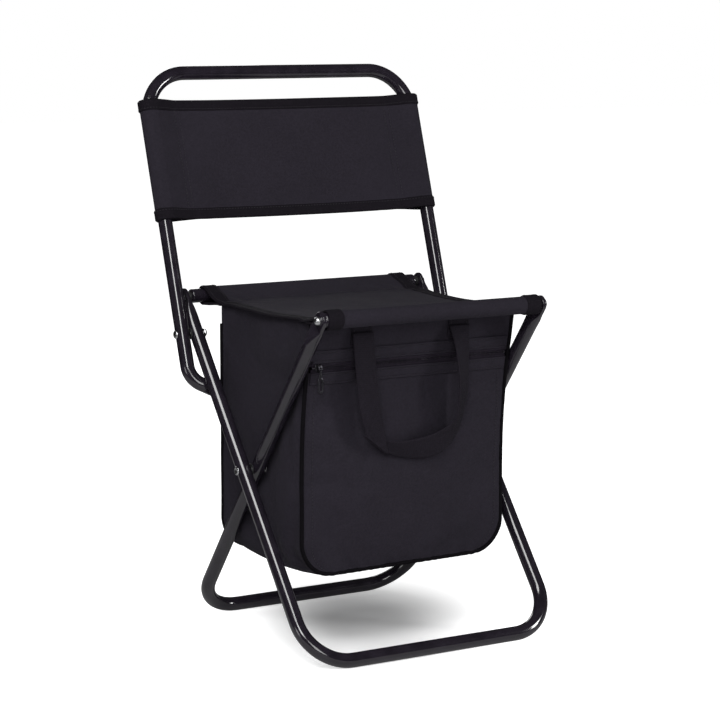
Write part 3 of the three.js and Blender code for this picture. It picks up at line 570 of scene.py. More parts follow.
class Sheet:
    """Cloth of some thickness round a grid of points on its middle surface."""

    def __init__(self, grid, thickness, cloth=None):
        self.grid = grid
        self.half = np.broadcast_to(np.asarray(thickness, float) / 2, grid.shape[:2])[..., None]
        self.cloth = cloth
        self.along = unit(np.gradient(grid, axis=0))
        self.across = unit(np.gradient(grid, axis=1))
        self.normal = unit(np.cross(self.along, self.across))

    def facing(self, way):
        """Which face, 1 or -1, looks along a way at the sheet's middle."""
        rows, columns = self.grid.shape[:2]
        return np.sign(self.normal[rows // 2, columns // 2] @ np.array(way))

    def face(self, side, lift=0.0):
        return self.grid + self.normal * (self.half + lift) * side

    def line(self, pick, side):
        """Places and outward directions on a face, along a row, a column or a part of one."""
        return self.face(side)[pick], self.normal[pick] * side

    def piece(self, name, finish, slot=None):
        rows, columns = self.grid.shape[:2]
        count = rows * columns
        rim = [(0, j) for j in range(columns)]
        rim += [(i, columns - 1) for i in range(1, rows)]
        rim += [(rows - 1, j) for j in range(columns - 2, -1, -1)]
        rim += [(i, 0) for i in range(rows - 2, 0, -1)]
        outward = np.zeros_like(self.grid)
        outward[0] -= self.along[0]
        outward[-1] += self.along[-1]
        outward[:, 0] -= self.across[:, 0]
        outward[:, -1] += self.across[:, -1]
        edge = self.grid + unit(outward) * self.half
        pick = tuple(np.array(rim).T)
        points = np.vstack([self.face(1).reshape(-1, 3), self.face(-1).reshape(-1, 3), edge[pick]])
        cloth = np.vstack([self.cloth.reshape(-1, 2)] * 2 + [self.cloth[pick]])
        faces = grid_faces(rows, columns) + [f[::-1] for f in grid_faces(rows, columns, count)]
        for k in range(len(rim)):
            n = (k + 1) % len(rim)
            top, top_next = (i * columns + j for i, j in (rim[k], rim[n]))
            edge_here, edge_next = 2 * count + k, 2 * count + n
            faces.append((top, edge_here, edge_next, top_next))
            faces.append((edge_here, count + top, count + top_next, edge_next))
        return add_piece(name, points, faces, finish, cloth)


def stitch_piece(name, rows):
    """Short raised stitches of thread along rows of places with the cloth's outward directions."""
    rings, sides = 5, 6
    shares = np.linspace(-1, 1, rings)
    girths = THREAD_R * np.sqrt(1.03 - shares**2)
    lifts = THREAD_R * (0.9 - 1.5 * shares**4)
    points, faces = [], []
    for places, normals in rows:
        travel = travelled(places)
        for start in np.arange(STITCH_PITCH / 2, travel[-1] - STITCH, STITCH_PITCH):
            first, last = at_travel((start, start + STITCH), travel, places)
            normal = unit(at_travel(start, travel, normals))
            side = np.cross(normal, unit(last - first))
            faces += tube_faces(rings, sides, len(points))
            for share, girth, lift in zip(shares, girths, lifts):
                heart = (first + last) / 2 + (last - first) * share / 2 + normal * lift
                points += [heart + girth * (math.cos(a) * side + math.sin(a) * normal) for a in circle(sides)]
    return add_piece(name, points, faces, "thread")


def rounded_profile(profile, cut):
    """Outline with each inner corner cut back to a small curve."""
    profile = [np.array(pair, float) for pair in profile]
    made = [profile[0]]
    for before, corner, after in zip(profile, profile[1:], profile[2:]):
        start, end = (corner + unit(far - corner) * min(cut, 0.45 * np.linalg.norm(far - corner))
                      for far in (before, after))
        for t in np.linspace(0, 1, 5):
            made.append((1 - t) ** 2 * start + 2 * t * (1 - t) * corner + t**2 * end)
    made.append(profile[-1])
    return made


def turned_piece(name, profile, place, axis, finish, cut=FINE_CUT):
    """Solid of revolution about an axis through place, from (radius, distance) pairs."""
    turn = Vector(UP).rotation_difference(Vector(axis)).to_matrix()
    rings = []
    for radius, travel in rounded_profile(profile, cut):
        ring = [Vector((radius * math.cos(a), radius * math.sin(a), travel)) for a in circle(TURNED_SIDES)]
        rings.append([tuple(Vector(place) + turn @ point) for point in ring])
    return tube_piece(name, np.array(rings), finish)


# Places of the frame
rear_bar = middle("rear_seat_bar")
front_bar = middle("front_seat_bar")
outer_low, outer_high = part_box("outer_leg_frame")
inner_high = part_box("inner_leg_frame")[1]
outer_x = outer_high.x - TUBE_R
inner_x = inner_high.x - TUBE_R
front_foot = Vector((0, outer_low.y + TUBE_R, TUBE_R))
rear_foot = Vector((0, inner_high.y - TUBE_R, TUBE_R))
hinges = {joint["name"]: Vector(joint["pos_m"]) for joint in frame["joints"] if "pos_m" in joint}
back_pivot = hinges["backrest_fold"]
back_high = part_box("backrest_frame")[1]
upright_x = back_high.x - TUBE_R
plugs = {side: middle(f"backrest_plug_{side}") for side in SIDES}
top_bar = Vector((0, back_high.y - TUBE_R, back_high.z - TUBE_R))
back_up = Vector((0, top_bar.y - back_pivot.y, top_bar.z - back_pivot.z)).normalized()
back_front = Vector((0, -back_up.z, back_up.y))


# Bent tubes
def eye_shape(travel):
    """Half thickness, half width and squareness of a leg's pressed end, by the way from its tip."""
    share = float(np.clip((travel - EYE_END - EYE_FLAT) / EYE_TAPER, 0, 1))
    share = share * (1.6 - 0.6 * share)
    width = EYE_HALF_WIDTH + (TUBE_R - EYE_HALF_WIDTH) * share
    thickness = EYE_HALF_THICKNESS + (TUBE_R - EYE_HALF_THICKNESS) * share
    if travel < EYE_END:
        width *= math.sqrt(1 - ((EYE_END - travel) / (EYE_END * 1.05)) ** 2)
    if travel < EYE_TIP:
        thickness *= 0.6 + 0.4 * travel / EYE_TIP
    return thickness, width, 5.0 - 3.0 * share


def leg_piece(name, half_spacing, top, foot):
    """A leg frame: two legs with pressed eyes at the top and the floor bar between them."""
    lean = (foot - top).normalized()
    tip = top - lean * EYE_END
    ends = ((-1, tip), (-1, foot), (1, foot), (1, tip))
    corners = [Vector((sign * half_spacing, end.y, end.z)) for sign, end in ends]
    path = bent_path(corners, [BEND_R, BEND_R])[1:-1]
    flat_end = EYE_END + EYE_FLAT
    travels = np.concatenate([np.linspace(0, EYE_END, 16), np.linspace(EYE_END, flat_end, 5)[1:],
                              np.linspace(flat_end, flat_end + EYE_TAPER, 18)[1:]])
    first = [(corners[0] + lean * t, lean) for t in travels]
    last = [(corners[3] + lean * t, -lean) for t in travels[::-1]]
    eyes = [eye_shape(t) for t in travels]
    shapes = eyes + [(TUBE_R, TUBE_R, 2.0)] * len(path) + eyes[::-1]
    rings = swept(first + path + last, X_AXIS, lambda k: oval(*shapes[k], TUBE_SIDES))
    return tube_piece(name, rings, "painted_tube")


def tail(side):
    """The bend at an upright's foot and the way from there to its plug."""
    foot = back_pivot - back_up * TAIL_DROP
    bend = Vector((SIDES[side] * upright_x, foot.y, foot.z))
    return bend, (plugs[side] - bend).normalized()


def backrest_piece():
    """The backrest's tube: a tail at each foot, two uprights and the top bar."""
    halves = []
    for side, sign in SIDES.items():
        bend, inward = tail(side)
        top = Vector((sign * upright_x, top_bar.y, top_bar.z))
        halves.append([plugs[side] + inward * TAIL_PAST_PLUG, bend, top])
    path = bent_path(halves[0] + halves[1][::-1], [TAIL_BEND_R, BEND_R, BEND_R, TAIL_BEND_R])
    across = path[0][1].orthogonal().normalized()
    rings = swept(path, across, lambda k: oval(TUBE_R, TUBE_R, 2, TUBE_SIDES))
    return tube_piece("backrest_tube", rings, "painted_tube")


settle(leg_piece("outer_leg_tube", outer_x, rear_bar, front_foot), "outer_frame", "outer_leg_frame")
settle(leg_piece("inner_leg_tube", inner_x, front_bar, rear_foot), "inner_frame", "inner_leg_frame")
backrest_tube = settle(backrest_piece(), "backrest", "backrest_frame")


# Bars, rivets, bushes, washers and plugs
def along_x(node):
    """A node's middle and its half length along X."""
    low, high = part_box(node)
    return (low + high) / 2, (high.x - low.x) / 2


def bar_piece(name, node):
    place, half = along_x(node)
    edge = half - BAR_CHAMFER
    rim = TUBE_R - BAR_CHAMFER
    profile = [(0.0, -half), (rim, -half), (TUBE_R, -edge), (TUBE_R, 0.0), (TUBE_R, edge), (rim, half),
               (0.0, half)]
    return turned_piece(name, profile, place, X_AXIS, "painted_tube", BAR_CUT)


rear_tube = settle(bar_piece("rear_seat_tube", "rear_seat_bar"), "outer_frame", "rear_seat_bar")
front_tube = settle(bar_piece("front_seat_tube", "front_seat_bar"), "inner_frame", "front_seat_bar")

# Shares of a head's radius and height
DOME = [(1.0, 0.0), (1.0, 0.16), (0.93, 0.46), (0.78, 0.72), (0.52, 0.92), (0.2, 0.995), (0.0, 1.0)]
NUT = [(0.9, 0.0), (1.0, 0.08), (1.0, 0.52), (0.93, 0.66), (0.8, 0.82), (0.5, 0.96), (0.0, 1.0)]
# Radius and way from the neck or the plug's middle in metres
PEENED = [(PIN_R, 0.0), (HEAD_R, 0.0), (HEAD_R, 0.0009), (0.0038, 0.0018), (0.0018, 0.0015), (0.0, 0.0014)]
PLUG = [(0.0, -0.004), (0.006, -0.004), (0.006, 0.0034), (TUBE_R + 0.0003, 0.0034),
        (TUBE_R + 0.0003, 0.0049), (TUBE_R - 0.0008, 0.0062), (0.0, 0.0066)]


def rivet_piece(node, head_height):
    """A domed head outside on its shaft; the shaft's far end is hidden in the tube."""
    place, half = along_x(node)
    head = half - head_height
    profile = [(0.0, -half), (PIN_R, -half), (PIN_R, head)]
    profile += [(HEAD_R * r, head + head_height * h) for r, h in DOME]
    outward = (math.copysign(1, place.x), 0, 0)
    return turned_piece(f"{node}_head", profile, place, outward, "bright_steel")


def pivot_piece(node):
    """The crossing rivet: a low peened head at both ends."""
    place, half = along_x(node)
    head = [(r, half - PEENED_HEIGHT + x) for r, x in PEENED]
    profile = [(r, -x) for r, x in head[::-1]] + head
    return turned_piece(f"{node}_pin", profile, place, X_AXIS, "bright_steel")


def nut_piece(node):
    """A cap nut: a six-sided skirt under a low dome."""
    place, half = along_x(node)
    inward = -math.copysign(1, place.x)
    angles = circle(48)
    hexagon = np.cos(math.pi / 6) / np.cos((angles % (math.pi / 3)) - math.pi / 6)
    rings = []
    for r, h in NUT:
        flatness = 1 - smooth(h, 0.5, 0.7)
        radius = HEAD_R * r * (1 - flatness + flatness * hexagon * 1.06)
        rings.append(ring_about_x(place, inward * half * (2 * h - 1), radius, angles))
    return tube_piece(f"{node}_cap", np.array(rings), "bright_steel")


def ring_piece(node, outer_r):
    """A washer, bush or spacer with rounded edges on a pin along X."""
    place, half = along_x(node)
    outline = [(BORE_R, -half), (outer_r, -half), (outer_r, half), (BORE_R, half), (BORE_R, -half)]
    rings = [ring_about_x(place, x, r, circle(TURNED_SIDES))
             for r, x in rounded_profile(outline, FINE_CUT)[:-1]]
    return tube_piece(f"{node}_ring", np.array(rings), "black_plastic", closed=True)


def plug_piece(node):
    """The plastic cap on a tail's end, with a rounded rim."""
    side = node.split("_")[-1]
    return turned_piece(f"{node}_cap", PLUG, plugs[side], tail(side)[1], "black_plastic", PLUG_CUT)


SMALL_PIECES = {
    "rear_bar_rivet": ("outer_frame", rivet_piece, DOME_HEIGHT),
    "front_bar_rivet": ("inner_frame", rivet_piece, DOME_HEIGHT),
    "backrest_bolt": ("outer_frame", rivet_piece, BOLT_HEIGHT),
    "pivot_rivet": ("outer_frame", pivot_piece),
    "backrest_nut": ("outer_frame", nut_piece),
    "rear_bar_bush": ("outer_frame", ring_piece, BUSH_R),
    "pivot_washer": ("outer_frame", ring_piece, WASHER_R),
    "backrest_spacer": ("outer_frame", ring_piece, WASHER_R),
    "backrest_plug": ("backrest", plug_piece),
}
for side in SIDES:
    for name, (body, make, *size) in SMALL_PIECES.items():
        settle(make(f"{name}_{side}", *size), body, f"{name}_{side}")


# Slings: cloth drawn between two tubes, its ends folded round them and sewn back at a seam
def sleeve_path(reach, slack, drop):
    """Middle line of a sleeve as (inward, up) pairs from the lower seam round the tube to the upper seam."""
    seam = np.array([reach, -drop])
    lower = seam - (0, CLOTH + LAYER_GAP)
    end = lower + (SEAM_ALLOWANCE, -SEAM_DROOP)
    near = np.array([slack, 0.0])

    def touch(point):
        way = point - near
        return math.atan2(way[1], way[0]), math.acos(SLEEVE_R / np.linalg.norm(way))

    def turn(center, start, stop, count):
        angles = np.linspace(start, stop, count)
        return center + SLEEVE_R * np.stack([np.cos(angles), np.sin(angles)], axis=1)

    low_way, low_turn = touch(lower)
    high_way, high_turn = touch(seam)
    under = turn(near, low_way - low_turn, -math.pi / 2, 5)
    round_tube = turn(np.zeros(2), -math.pi / 2, -1.5 * math.pi, 33)
    over = turn(near, math.pi / 2, high_way + high_turn, 5)
    upper_run = np.linspace(over[-1], seam, SEAM_STEPS)[1:]
    lower_run = np.linspace(lower, under[0], SEAM_STEPS)[:-1]
    return np.vstack([[end], lower_run, under, round_tube, over, upper_run])


def sling_line(span, reach, slack, drop, middle_steps):
    """The sling's line as (along, up) pairs from the span's middle, and the numbers of its seams."""
    sleeve = sleeve_path(reach, slack, drop)
    first = np.stack([sleeve[:, 0] - span / 2, sleeve[:, 1]], axis=1)
    flat = np.linspace(first[-1], first[-1] * (-1, 1), middle_steps)
    last = np.stack([-first[::-1, 0], first[::-1, 1]], axis=1)
    return np.vstack([first, flat[1:-1], last]), len(first) - 1, len(first) + middle_steps - 2


def seam_lines(sheet, first, last, face):
    """Lines for stitches beside both seams of a sling, on both of its faces."""
    rows = (first - 1, first + 1, last - 1, last + 1)
    return [sheet.line(row, hand) for row in rows for hand in (face, -face)]


# Seat
seat_span = rear_bar.y - front_bar.y
seat_middle_y = (rear_bar.y + front_bar.y) / 2
seat_line, seat_first, seat_last = sling_line(seat_span, SEAT_SEAM, 0.0, SEAT_DROP, 61)
seat_travel = travelled(seat_line)
seat_half_flat = seat_span / 2 - SEAT_SEAM


def seat_sag(y):
    """How far the seat hangs below the plane of its bars, by the way from its middle."""
    return SEAT_SAG * (1 - smooth(np.abs(y), 0, seat_half_flat * 1.02))


def seat_grid(columns):
    """Middle surface of the seat for columns given as shares of its half width."""
    along, up = seat_line[:, :1], seat_line[:, 1:]
    out = np.abs(along)
    shares = columns[None, :]
    x = shares * (SEAT_HALF_WIDTH - SEAT_WAIST * np.clip(1 - (along / seat_half_flat) ** 2, 0, 1))
    loose = smooth(seat_half_flat + SEAT_LOOSE_PAST_SEAM - out, 0, SEAM_SOFTENING)
    pucker = hump(out, seat_half_flat, PUCKER_WIDTH)
    corners = np.abs(shares) ** 3 * hump(out, seat_half_flat, CORNER_FOLD_REACH)
    wave = SEAT_RIPPLE * ripples(x, along * 0.6, scale=0.045, seed=3.1) * loose
    wave = wave + SEAM_PUCKER * pucker * ripples(x, along * 0.2, PUCKER_PITCH, seed=8.4)
    wave = wave + SEAT_CORNER_FOLDS * corners * np.sin(x * 260 + out * 240)
    top = np.ones_like(along)
    top[:seat_first + 1 - SEAM_STEPS] = 0
    top[seat_last + SEAM_STEPS:] = 0
    z = rear_bar.z + up - seat_sag(along) * loose + wave * top
    return np.stack([x, np.broadcast_to(seat_middle_y + along, x.shape), z], axis=-1)


hem_share = 1 - SEAT_HEM / SEAT_HALF_WIDTH
panel_columns = np.linspace(-hem_share - 0.01, hem_share + 0.01, 91)
seat = Sheet(seat_grid(panel_columns), CLOTH, cloth_map(seat_travel, panel_columns * SEAT_HALF_WIDTH))


def span_legs(piece, *nodes):
    """Settles a piece of the seat, which spans both leg frames: hides the nodes it stands for and bakes its
    place into its mesh.
    """
    if nodes:
        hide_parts(*nodes)
    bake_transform(piece)
    return piece


seat_panel = span_legs(seat.piece("seat_cloth", "polyester"), "seat_panel")
seat_seams = []
hem_wrap = smooth(np.abs(seat_line[:, 0]) - seat_half_flat, *HEM_WRAP_PAST_SEAM)[:, None, None]
hem_rows = slice(seat_first - 20, seat_last + 21)
for side, sign in SIDES.items():
    columns = np.linspace(hem_share, 1, 9) * sign
    flat_hem = Sheet(seat_grid(columns), CLOTH)
    face = flat_hem.facing(UP)
    hem_grid = flat_hem.grid + flat_hem.normal * face * hem_wrap * SEAT_HEM_LIFT
    hem = Sheet(hem_grid, SEAT_HEM_THICKNESS, cloth_map(seat_travel, columns * SEAT_HALF_WIDTH))
    # The hems take the darker binding tape finish, not the seat's polyester: a painted shade along the seat's
    # edges
    piece = hem.piece(f"seat_hem_{side}_cloth", "binding_tape", "polyester")
    span_legs(piece, f"seat_hem_{side}")
    seat_seams += [hem.line((hem_rows, column), face) for column in (1, 7)]
seat_seams += seam_lines(seat, seat_first, seat_last, seat.facing(UP))
span_legs(stitch_piece("seat_stitches", seat_seams))


# Backrest panel
back_line, back_first, back_last = sling_line(2 * upright_x, BACK_SEAM, BACK_SLACK, 0.0, 71)
back_travel = travelled(back_line)
back_half_flat = upright_x - BACK_SEAM
panel_low, panel_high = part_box("backrest_panel")
sleeve_reach = (SLEEVE_R + CLOTH / 2) * abs(back_front.z)
back_bottom = (panel_low.z + sleeve_reach - back_pivot.z) / back_up.z
back_top = (panel_high.z - sleeve_reach - back_pivot.z) / back_up.z


def back_grid(heights):
    """Middle surface of the backrest for heights along the uprights."""
    along, front = back_line[:, :1], back_line[:, 1:]
    out = np.abs(along)
    heights = heights[None, :]
    inside = smooth(back_half_flat + BACK_LOOSE_PAST_SEAM - out, 0, SEAM_SOFTENING)
    share = (heights - back_bottom) / (back_top - back_bottom)
    bow = -BACK_BOW * np.clip(1 - (along / back_half_flat) ** 2, 0, 1)
    pucker = hump(out, back_half_flat, PUCKER_WIDTH)
    corners = hump(out, back_half_flat - BACK_FOLD_INSET, CORNER_FOLD_REACH) * (1 - share) ** 2
    wave = BACK_RIPPLE * ripples(along * 0.7, heights, scale=0.06, seed=5.7) * inside
    wave = wave + SEAM_PUCKER * pucker * ripples(along * 0.2, heights, PUCKER_PITCH, seed=2.2)
    wave = wave + BACK_CORNER_FOLDS * corners * np.sin(out * 330 + heights * 300)
    wave = wave + BACK_TWIST * np.sin(along * 21 + 0.6) * (share - 0.5) * inside
    depth = (front + bow * inside + wave)[..., None]
    places = np.array(back_pivot) + np.array(back_up) * heights[..., None] + np.array(back_front) * depth
    places[..., 0] = along
    return places


back_columns = np.linspace(back_bottom + BACK_PANEL_INSET, back_top - BACK_PANEL_INSET, 65)
back = Sheet(back_grid(back_columns), CLOTH, cloth_map(back_travel, back_columns))
back_panel = settle(back.piece("backrest_cloth", "polyester"), "backrest", "backrest_panel")
back_face = back.facing(back_front)
back_seams = []
sleeve_share = smooth(np.abs(back_line[:, :1]) - back_half_flat, 0, BACK_LOOSE_PAST_SEAM)
binding_thickness = BACK_BINDING_THICKNESS - BACK_BINDING_LESS_ON_SLEEVE * sleeve_share
for name, low, inner in (("bottom", back_bottom - BACK_BINDING_PAST_EDGE, 7),
                         ("top", back_top - BACK_BINDING + BACK_BINDING_PAST_EDGE, 1)):
    columns = np.linspace(low, low + BACK_BINDING, 9)
    on_panel = np.clip(columns, back_bottom, back_top)
    grid = back_grid(on_panel) + np.array(back_up) * (columns - on_panel)[None, :, None]
    lift = Sheet(grid, CLOTH).normal * back_face * sleeve_share[..., None] * BACK_BINDING_LIFT
    tape = Sheet(grid + lift, binding_thickness, cloth_map(back_travel, columns))
    piece = tape.piece(f"backrest_{name}_binding_tape", "binding_tape")
    settle(piece, "backrest", f"backrest_{name}_binding")
    back_seams += [tape.line(np.s_[:, inner], face) for face in (back_face, -back_face)]
back_seams += seam_lines(back, back_first, back_last, back_face)
settle(stitch_piece("backrest_stitches", back_seams), "backrest")


# Bag
gusset_low, gusset_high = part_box("bag_gusset")
bag_x = gusset_high.x - PIPING_R + SIDE_EASE
bag_bottom = gusset_low.z + PIPING_R
bag_top = gusset_high.z
belly = BELLY_HIGH - BELLY_LOW
front_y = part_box("bag_flap")[0].y + FLAP_SLOPE * (bag_top - BELLY_HIGH) + FLAP_SLOPE * belly / 2
rear_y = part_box("bag_back_panel")[1].y
zipper_z = middle("zipper_teeth").z


def front_face_y(z):
    """The bag's front, without its soft bulge: straight below, curving out to the leaning flap above."""
    bend = FLAP_SLOPE * np.clip(z - BELLY_LOW, 0, belly) ** 2 / (2 * belly)
    return front_y - bend - FLAP_SLOPE * np.maximum(z - BELLY_HIGH, 0)


def front_bulge(x, z):
    """Soft fullness of the front panel towards the front."""
    across = np.clip(1 - (x / bag_x) ** 2, 0, 1) ** 0.6
    above_bottom = smooth(z - bag_bottom, *BULGE_ABOVE_BOTTOM)
    below_zipper = 1 - smooth(z - zipper_z, *BULGE_BELOW_ZIPPER)
    return across * FRONT_FULLNESS * (above_bottom * below_zipper)


def zipper_wave(x, z):
    """The puckers that a sewn zipper draws into the cloth beside its teeth."""
    rise = z - zipper_z
    near = hump(rise, 0, ZIPPER_PUCKER_REACH) * smooth(np.abs(rise), *PUCKER_FROM_ZIPPER)
    return near * ZIPPER_PUCKER * ripples(x, z * 0.25, scale=0.021, seed=4.4)


def front_surface_y(x, z):
    return front_face_y(z) + PIPING_R - front_bulge(x, z) + zipper_wave(x, z)


arc_angles = np.linspace(0, math.pi / 2, 15)[1:]
straight_rows = np.linspace(bag_top, bag_bottom + BAG_CORNER_R, 57)
bag_rows = np.concatenate([straight_rows, bag_bottom + BAG_CORNER_R * (1 - np.sin(arc_angles))])
row_half = np.concatenate([np.full(len(straight_rows), bag_x),
                           bag_x - BAG_CORNER_R * (1 - np.cos(arc_angles))])
bag_columns = np.linspace(-1, 1, 49)
panel_x = row_half[:, None] * bag_columns[None, :]
panel_z = np.broadcast_to(bag_rows[:, None], panel_x.shape)


def hanging(grid):
    """Lets the top of the bag follow the seat's sag and its bottom hang a little lopsided."""
    share = np.clip((grid[..., 2] - zipper_z) / (bag_top - zipper_z), 0, 1) ** 2
    low = 1 - smooth(grid[..., 2] - bag_bottom, *LOPSIDED_ABOVE_BOTTOM)
    grid[..., 2] += LOPSIDED * grid[..., 0] * low - seat_sag(grid[..., 1] - seat_middle_y) * share
    return grid


def seam_loop(grid):
    """Edge of a panel from its top left round the bottom to its top right."""
    return np.vstack([grid[:, 0], grid[-1, 1:-1], grid[::-1, -1]])


front_grid = hanging(np.stack([panel_x, front_surface_y(panel_x, panel_z), panel_z], axis=-1))
rear_bulge = REAR_FULLNESS * (1 - bag_columns[None, :] ** 2)
rear_bulge = rear_bulge * smooth(panel_z - bag_bottom, *REAR_BULGE_ABOVE_BOTTOM)
rear_bulge = rear_bulge * (1 - smooth(panel_z - bag_top, *REAR_BULGE_BELOW_TOP))
rear_grid = hanging(np.stack([panel_x, rear_y - PIPING_R + rear_bulge, panel_z], axis=-1))
front_seam = seam_loop(front_grid)
rear_seam = seam_loop(rear_grid)
seam_travel = travelled(front_seam)
seam_out = unit(np.gradient(front_seam[:, [0, 2]], axis=0)) @ np.array([[0, -1], [1, 0]])
seam_out = np.stack([seam_out[:, 0], np.zeros(len(seam_out)), seam_out[:, 1]], axis=1)
seam_out *= np.sign(seam_out[0, 0] * front_seam[0, 0])
gusset_shares = np.linspace(0, 1, 41)


def flat_gusset():
    """The gusset between the seams, with its slack sides, soft bottom, folds and a ridge near the front."""
    back_share, way = gusset_shares[None, :], seam_travel[:, None]
    grid = front_seam[:, None] * (1 - back_share)[..., None] + rear_seam[:, None] * back_share[..., None]
    arch = np.sin(math.pi * back_share) ** 0.8
    floor_share = smooth(-seam_out[:, 2], 0.5, 1.0)[:, None]
    drop = (bag_top - front_seam[:, 2])[:, None]
    side_share = smooth(drop, *SIDES_BELOW_TOP) * (1 - floor_share)
    tucked = (1 - smooth(drop, *TUCK_BELOW_TOP)) * (1 - floor_share)
    dent = ripples(back_share * GUSSET_DEPTH, way, scale=0.075, seed=1.9)
    folds = np.sin(back_share * 26 + way * 9) * hump(back_share, 0.14, 0.11)
    ridge = hump(back_share, 0.19, 0.07) * smooth(drop, *RIDGE_BELOW_TOP)
    sides = side_share * (SIDE_FULLNESS + SIDE_DENTS * dent)
    bulge = arch * (BOTTOM_FULLNESS * floor_share + sides - TOP_TUCK * tucked)
    bulge = bulge + (SIDE_FOLDS * folds + SIDE_RIDGE * ridge) * side_share
    return grid + seam_out[:, None] * bulge[..., None]


def sewn_bag():
    """Points, outward faces and pin weights of the front, rear and gusset sewn at their seams."""
    rows, columns = panel_x.shape
    count = rows * columns
    front_edge = seam_loop(np.arange(count).reshape(rows, columns, 1))[:, 0]
    inner_count = len(gusset_shares) - 2
    inside = 2 * count + np.arange(len(front_edge) * inner_count).reshape(-1, inner_count)
    strip = np.hstack([front_edge[:, None], inside, front_edge[:, None] + count])
    faces = [face[::-1] for face in grid_faces(rows, columns)] + grid_faces(rows, columns, count)
    for here, after in zip(strip.tolist(), strip[1:].tolist()):
        faces += zip(here, after, after[1:], here[1:])
    points = np.vstack([grid.reshape(-1, 3) for grid in (front_grid, rear_grid, gusset_grid[:, 1:-1])])
    held = np.zeros(len(points))
    held[front_edge] = SEAM_HOLD
    held[front_edge + count] = SEAM_HOLD
    near_zipper = smooth(points[:count, 2] - zipper_z, *HELD_BELOW_ZIPPER)
    held[:count] = np.maximum(held[:count], near_zipper)
    held[count:count + columns] = 1
    held[[*inside[0], *inside[-1]]] = 1
    return points, faces, held


def filled(points, faces, held):
    """The sewn bag after a short cloth simulation: slack cloth, filled a little and hanging."""
    mesh = new_mesh("bag_pattern", points, faces)
    pattern = new_object("bag_pattern", mesh)
    scene = bpy.context.scene
    group = pattern.vertex_groups.new(name="held")
    for index in np.flatnonzero(held > 0.001):
        group.add([int(index)], float(held[index]), "REPLACE")
    cloth = pattern.modifiers.new("cloth", "CLOTH")
    for key, value in FILL_SETTINGS.items():
        setattr(cloth.settings, key, value)
    cloth.settings.effector_weights.gravity = 0.1
    cloth.collision_settings.use_collision = False
    cloth.point_cache.frame_end = FILL_FRAMES
    for number in range(1, FILL_FRAMES + 1):
        scene.frame_set(number)
    shaped = pattern.evaluated_get(bpy.context.evaluated_depsgraph_get())
    places = np.empty(len(points) * 3)
    shaped.data.vertices.foreach_get("co", places)
    bpy.data.objects.remove(pattern)
    bpy.data.meshes.remove(mesh)
    scene.frame_set(1)
    return places.reshape(-1, 3)


def between_legs(points):
    """Keeps the bag's sides clear of the inner legs, and more so at the crossing rivets' heads."""
    leg_way = unit(np.array(rear_foot - front_bar)[1:])
    from_bar = points[..., 1:] - np.array(front_bar)[1:]
    from_leg = np.abs(from_bar[..., 0] * leg_way[1] - from_bar[..., 1] * leg_way[0])
    from_rivet = np.linalg.norm(points[..., 1:] - np.array(middle("pivot_rivet_left"))[1:], axis=-1)
    limit = SIDE_LIMIT - LEG_DENT * (1 - smooth(from_leg, *DENT_FROM_LEG))
    limit = limit - RIVET_DENT * (1 - smooth(from_rivet, *DENT_FROM_RIVET))
    points[..., 0] = np.clip(points[..., 0], -limit, limit)


gusset_grid = flat_gusset()
settled = filled(*sewn_bag())
count = panel_x.size
front_grid = settled[:count].reshape(front_grid.shape)
rear_grid = settled[count:2 * count].reshape(front_grid.shape)
gusset_grid[:, 1:-1] = settled[2 * count:].reshape(len(front_seam), -1, 3)
gusset_grid[:, 0] = seam_loop(front_grid)
gusset_grid[:, -1] = seam_loop(rear_grid)
for grid in (front_grid, rear_grid, gusset_grid):
    between_legs(grid)
front_seam = seam_loop(front_grid)
rear_seam = seam_loop(rear_grid)


def hang(piece, body, *nodes):
    """Settles a piece of the bag on its body, with a mesh of its own."""
    settle(piece, body, *nodes)
    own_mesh(piece)
    return piece


zip_row = int(np.argmin(np.abs(bag_rows - zipper_z)))
panel_map = np.stack([panel_x, panel_z], axis=-1)
gusset_map = cloth_map(seam_travel, gusset_shares * GUSSET_DEPTH)
flap = Sheet(front_grid[:zip_row], PANEL, panel_map[:zip_row])
front = Sheet(front_grid[zip_row + 1:], PANEL, panel_map[zip_row + 1:])
rear = Sheet(rear_grid, PANEL, panel_map)
gusset = Sheet(gusset_grid, PANEL, gusset_map)
for name, node, sheet, fill in (("bag_flap_cloth", "bag_flap", flap, 0.2),
                                ("bag_front_cloth", "bag_front_panel", front, 0.35),
                                ("bag_back_cloth", "bag_back_panel", rear, 0.3),
                                ("bag_gusset_cloth", "bag_gusset", gusset, 0.3)):
    hang(sheet.piece(name, "polyester"), "outer_frame", node)

inner_face = gusset.face(gusset.facing(UP), LINER_GAP)
below = front_seam[:, 2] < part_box("bag_liner")[1].z
liner = Sheet(inner_face[below][:, 3:-3], LINER, gusset_map[below][:, 3:-3])
hang(liner.piece("bag_liner_foil", "foil_liner"), "outer_frame", "bag_liner")


def piping_piece(name, seam):
    """A cord in binding tape along a seam."""
    travel = travelled(seam)
    path = point_path(at_travel(np.linspace(0, travel[-1], 260), travel, seam))
    rings = swept(path, X_AXIS, lambda k: oval(CORD_R, CORD_R, 2, 14))
    return tube_piece(name, rings, "piping_cord")


front_cord = front_seam + seam_out * CORD_LIFT - (0, CORD_PROUD, 0)
rear_cord = rear_seam + seam_out * CORD_LIFT + (0, CORD_PROUD, 0)
hang(piping_piece("bag_front_cord", front_cord), "outer_frame", "bag_front_piping")
under_seat = rear_seam[:, 2] < bag_top - REAR_CORD_BELOW_TOP
hang(piping_piece("bag_back_cord", rear_cord[under_seat]), "outer_frame", "bag_back_piping")


# Zipper
def front_strip(x, z, lift):
    """Points in front of the bag's front by lift, at places across and up."""
    y = front_surface_y(x, z) - PANEL / 2 - lift
    return np.stack([np.broadcast_to(x, y.shape), y, np.broadcast_to(z, y.shape)], axis=-1)


tape_x = np.linspace(-ZIPPER_HALF_WIDTH, ZIPPER_HALF_WIDTH, 119)


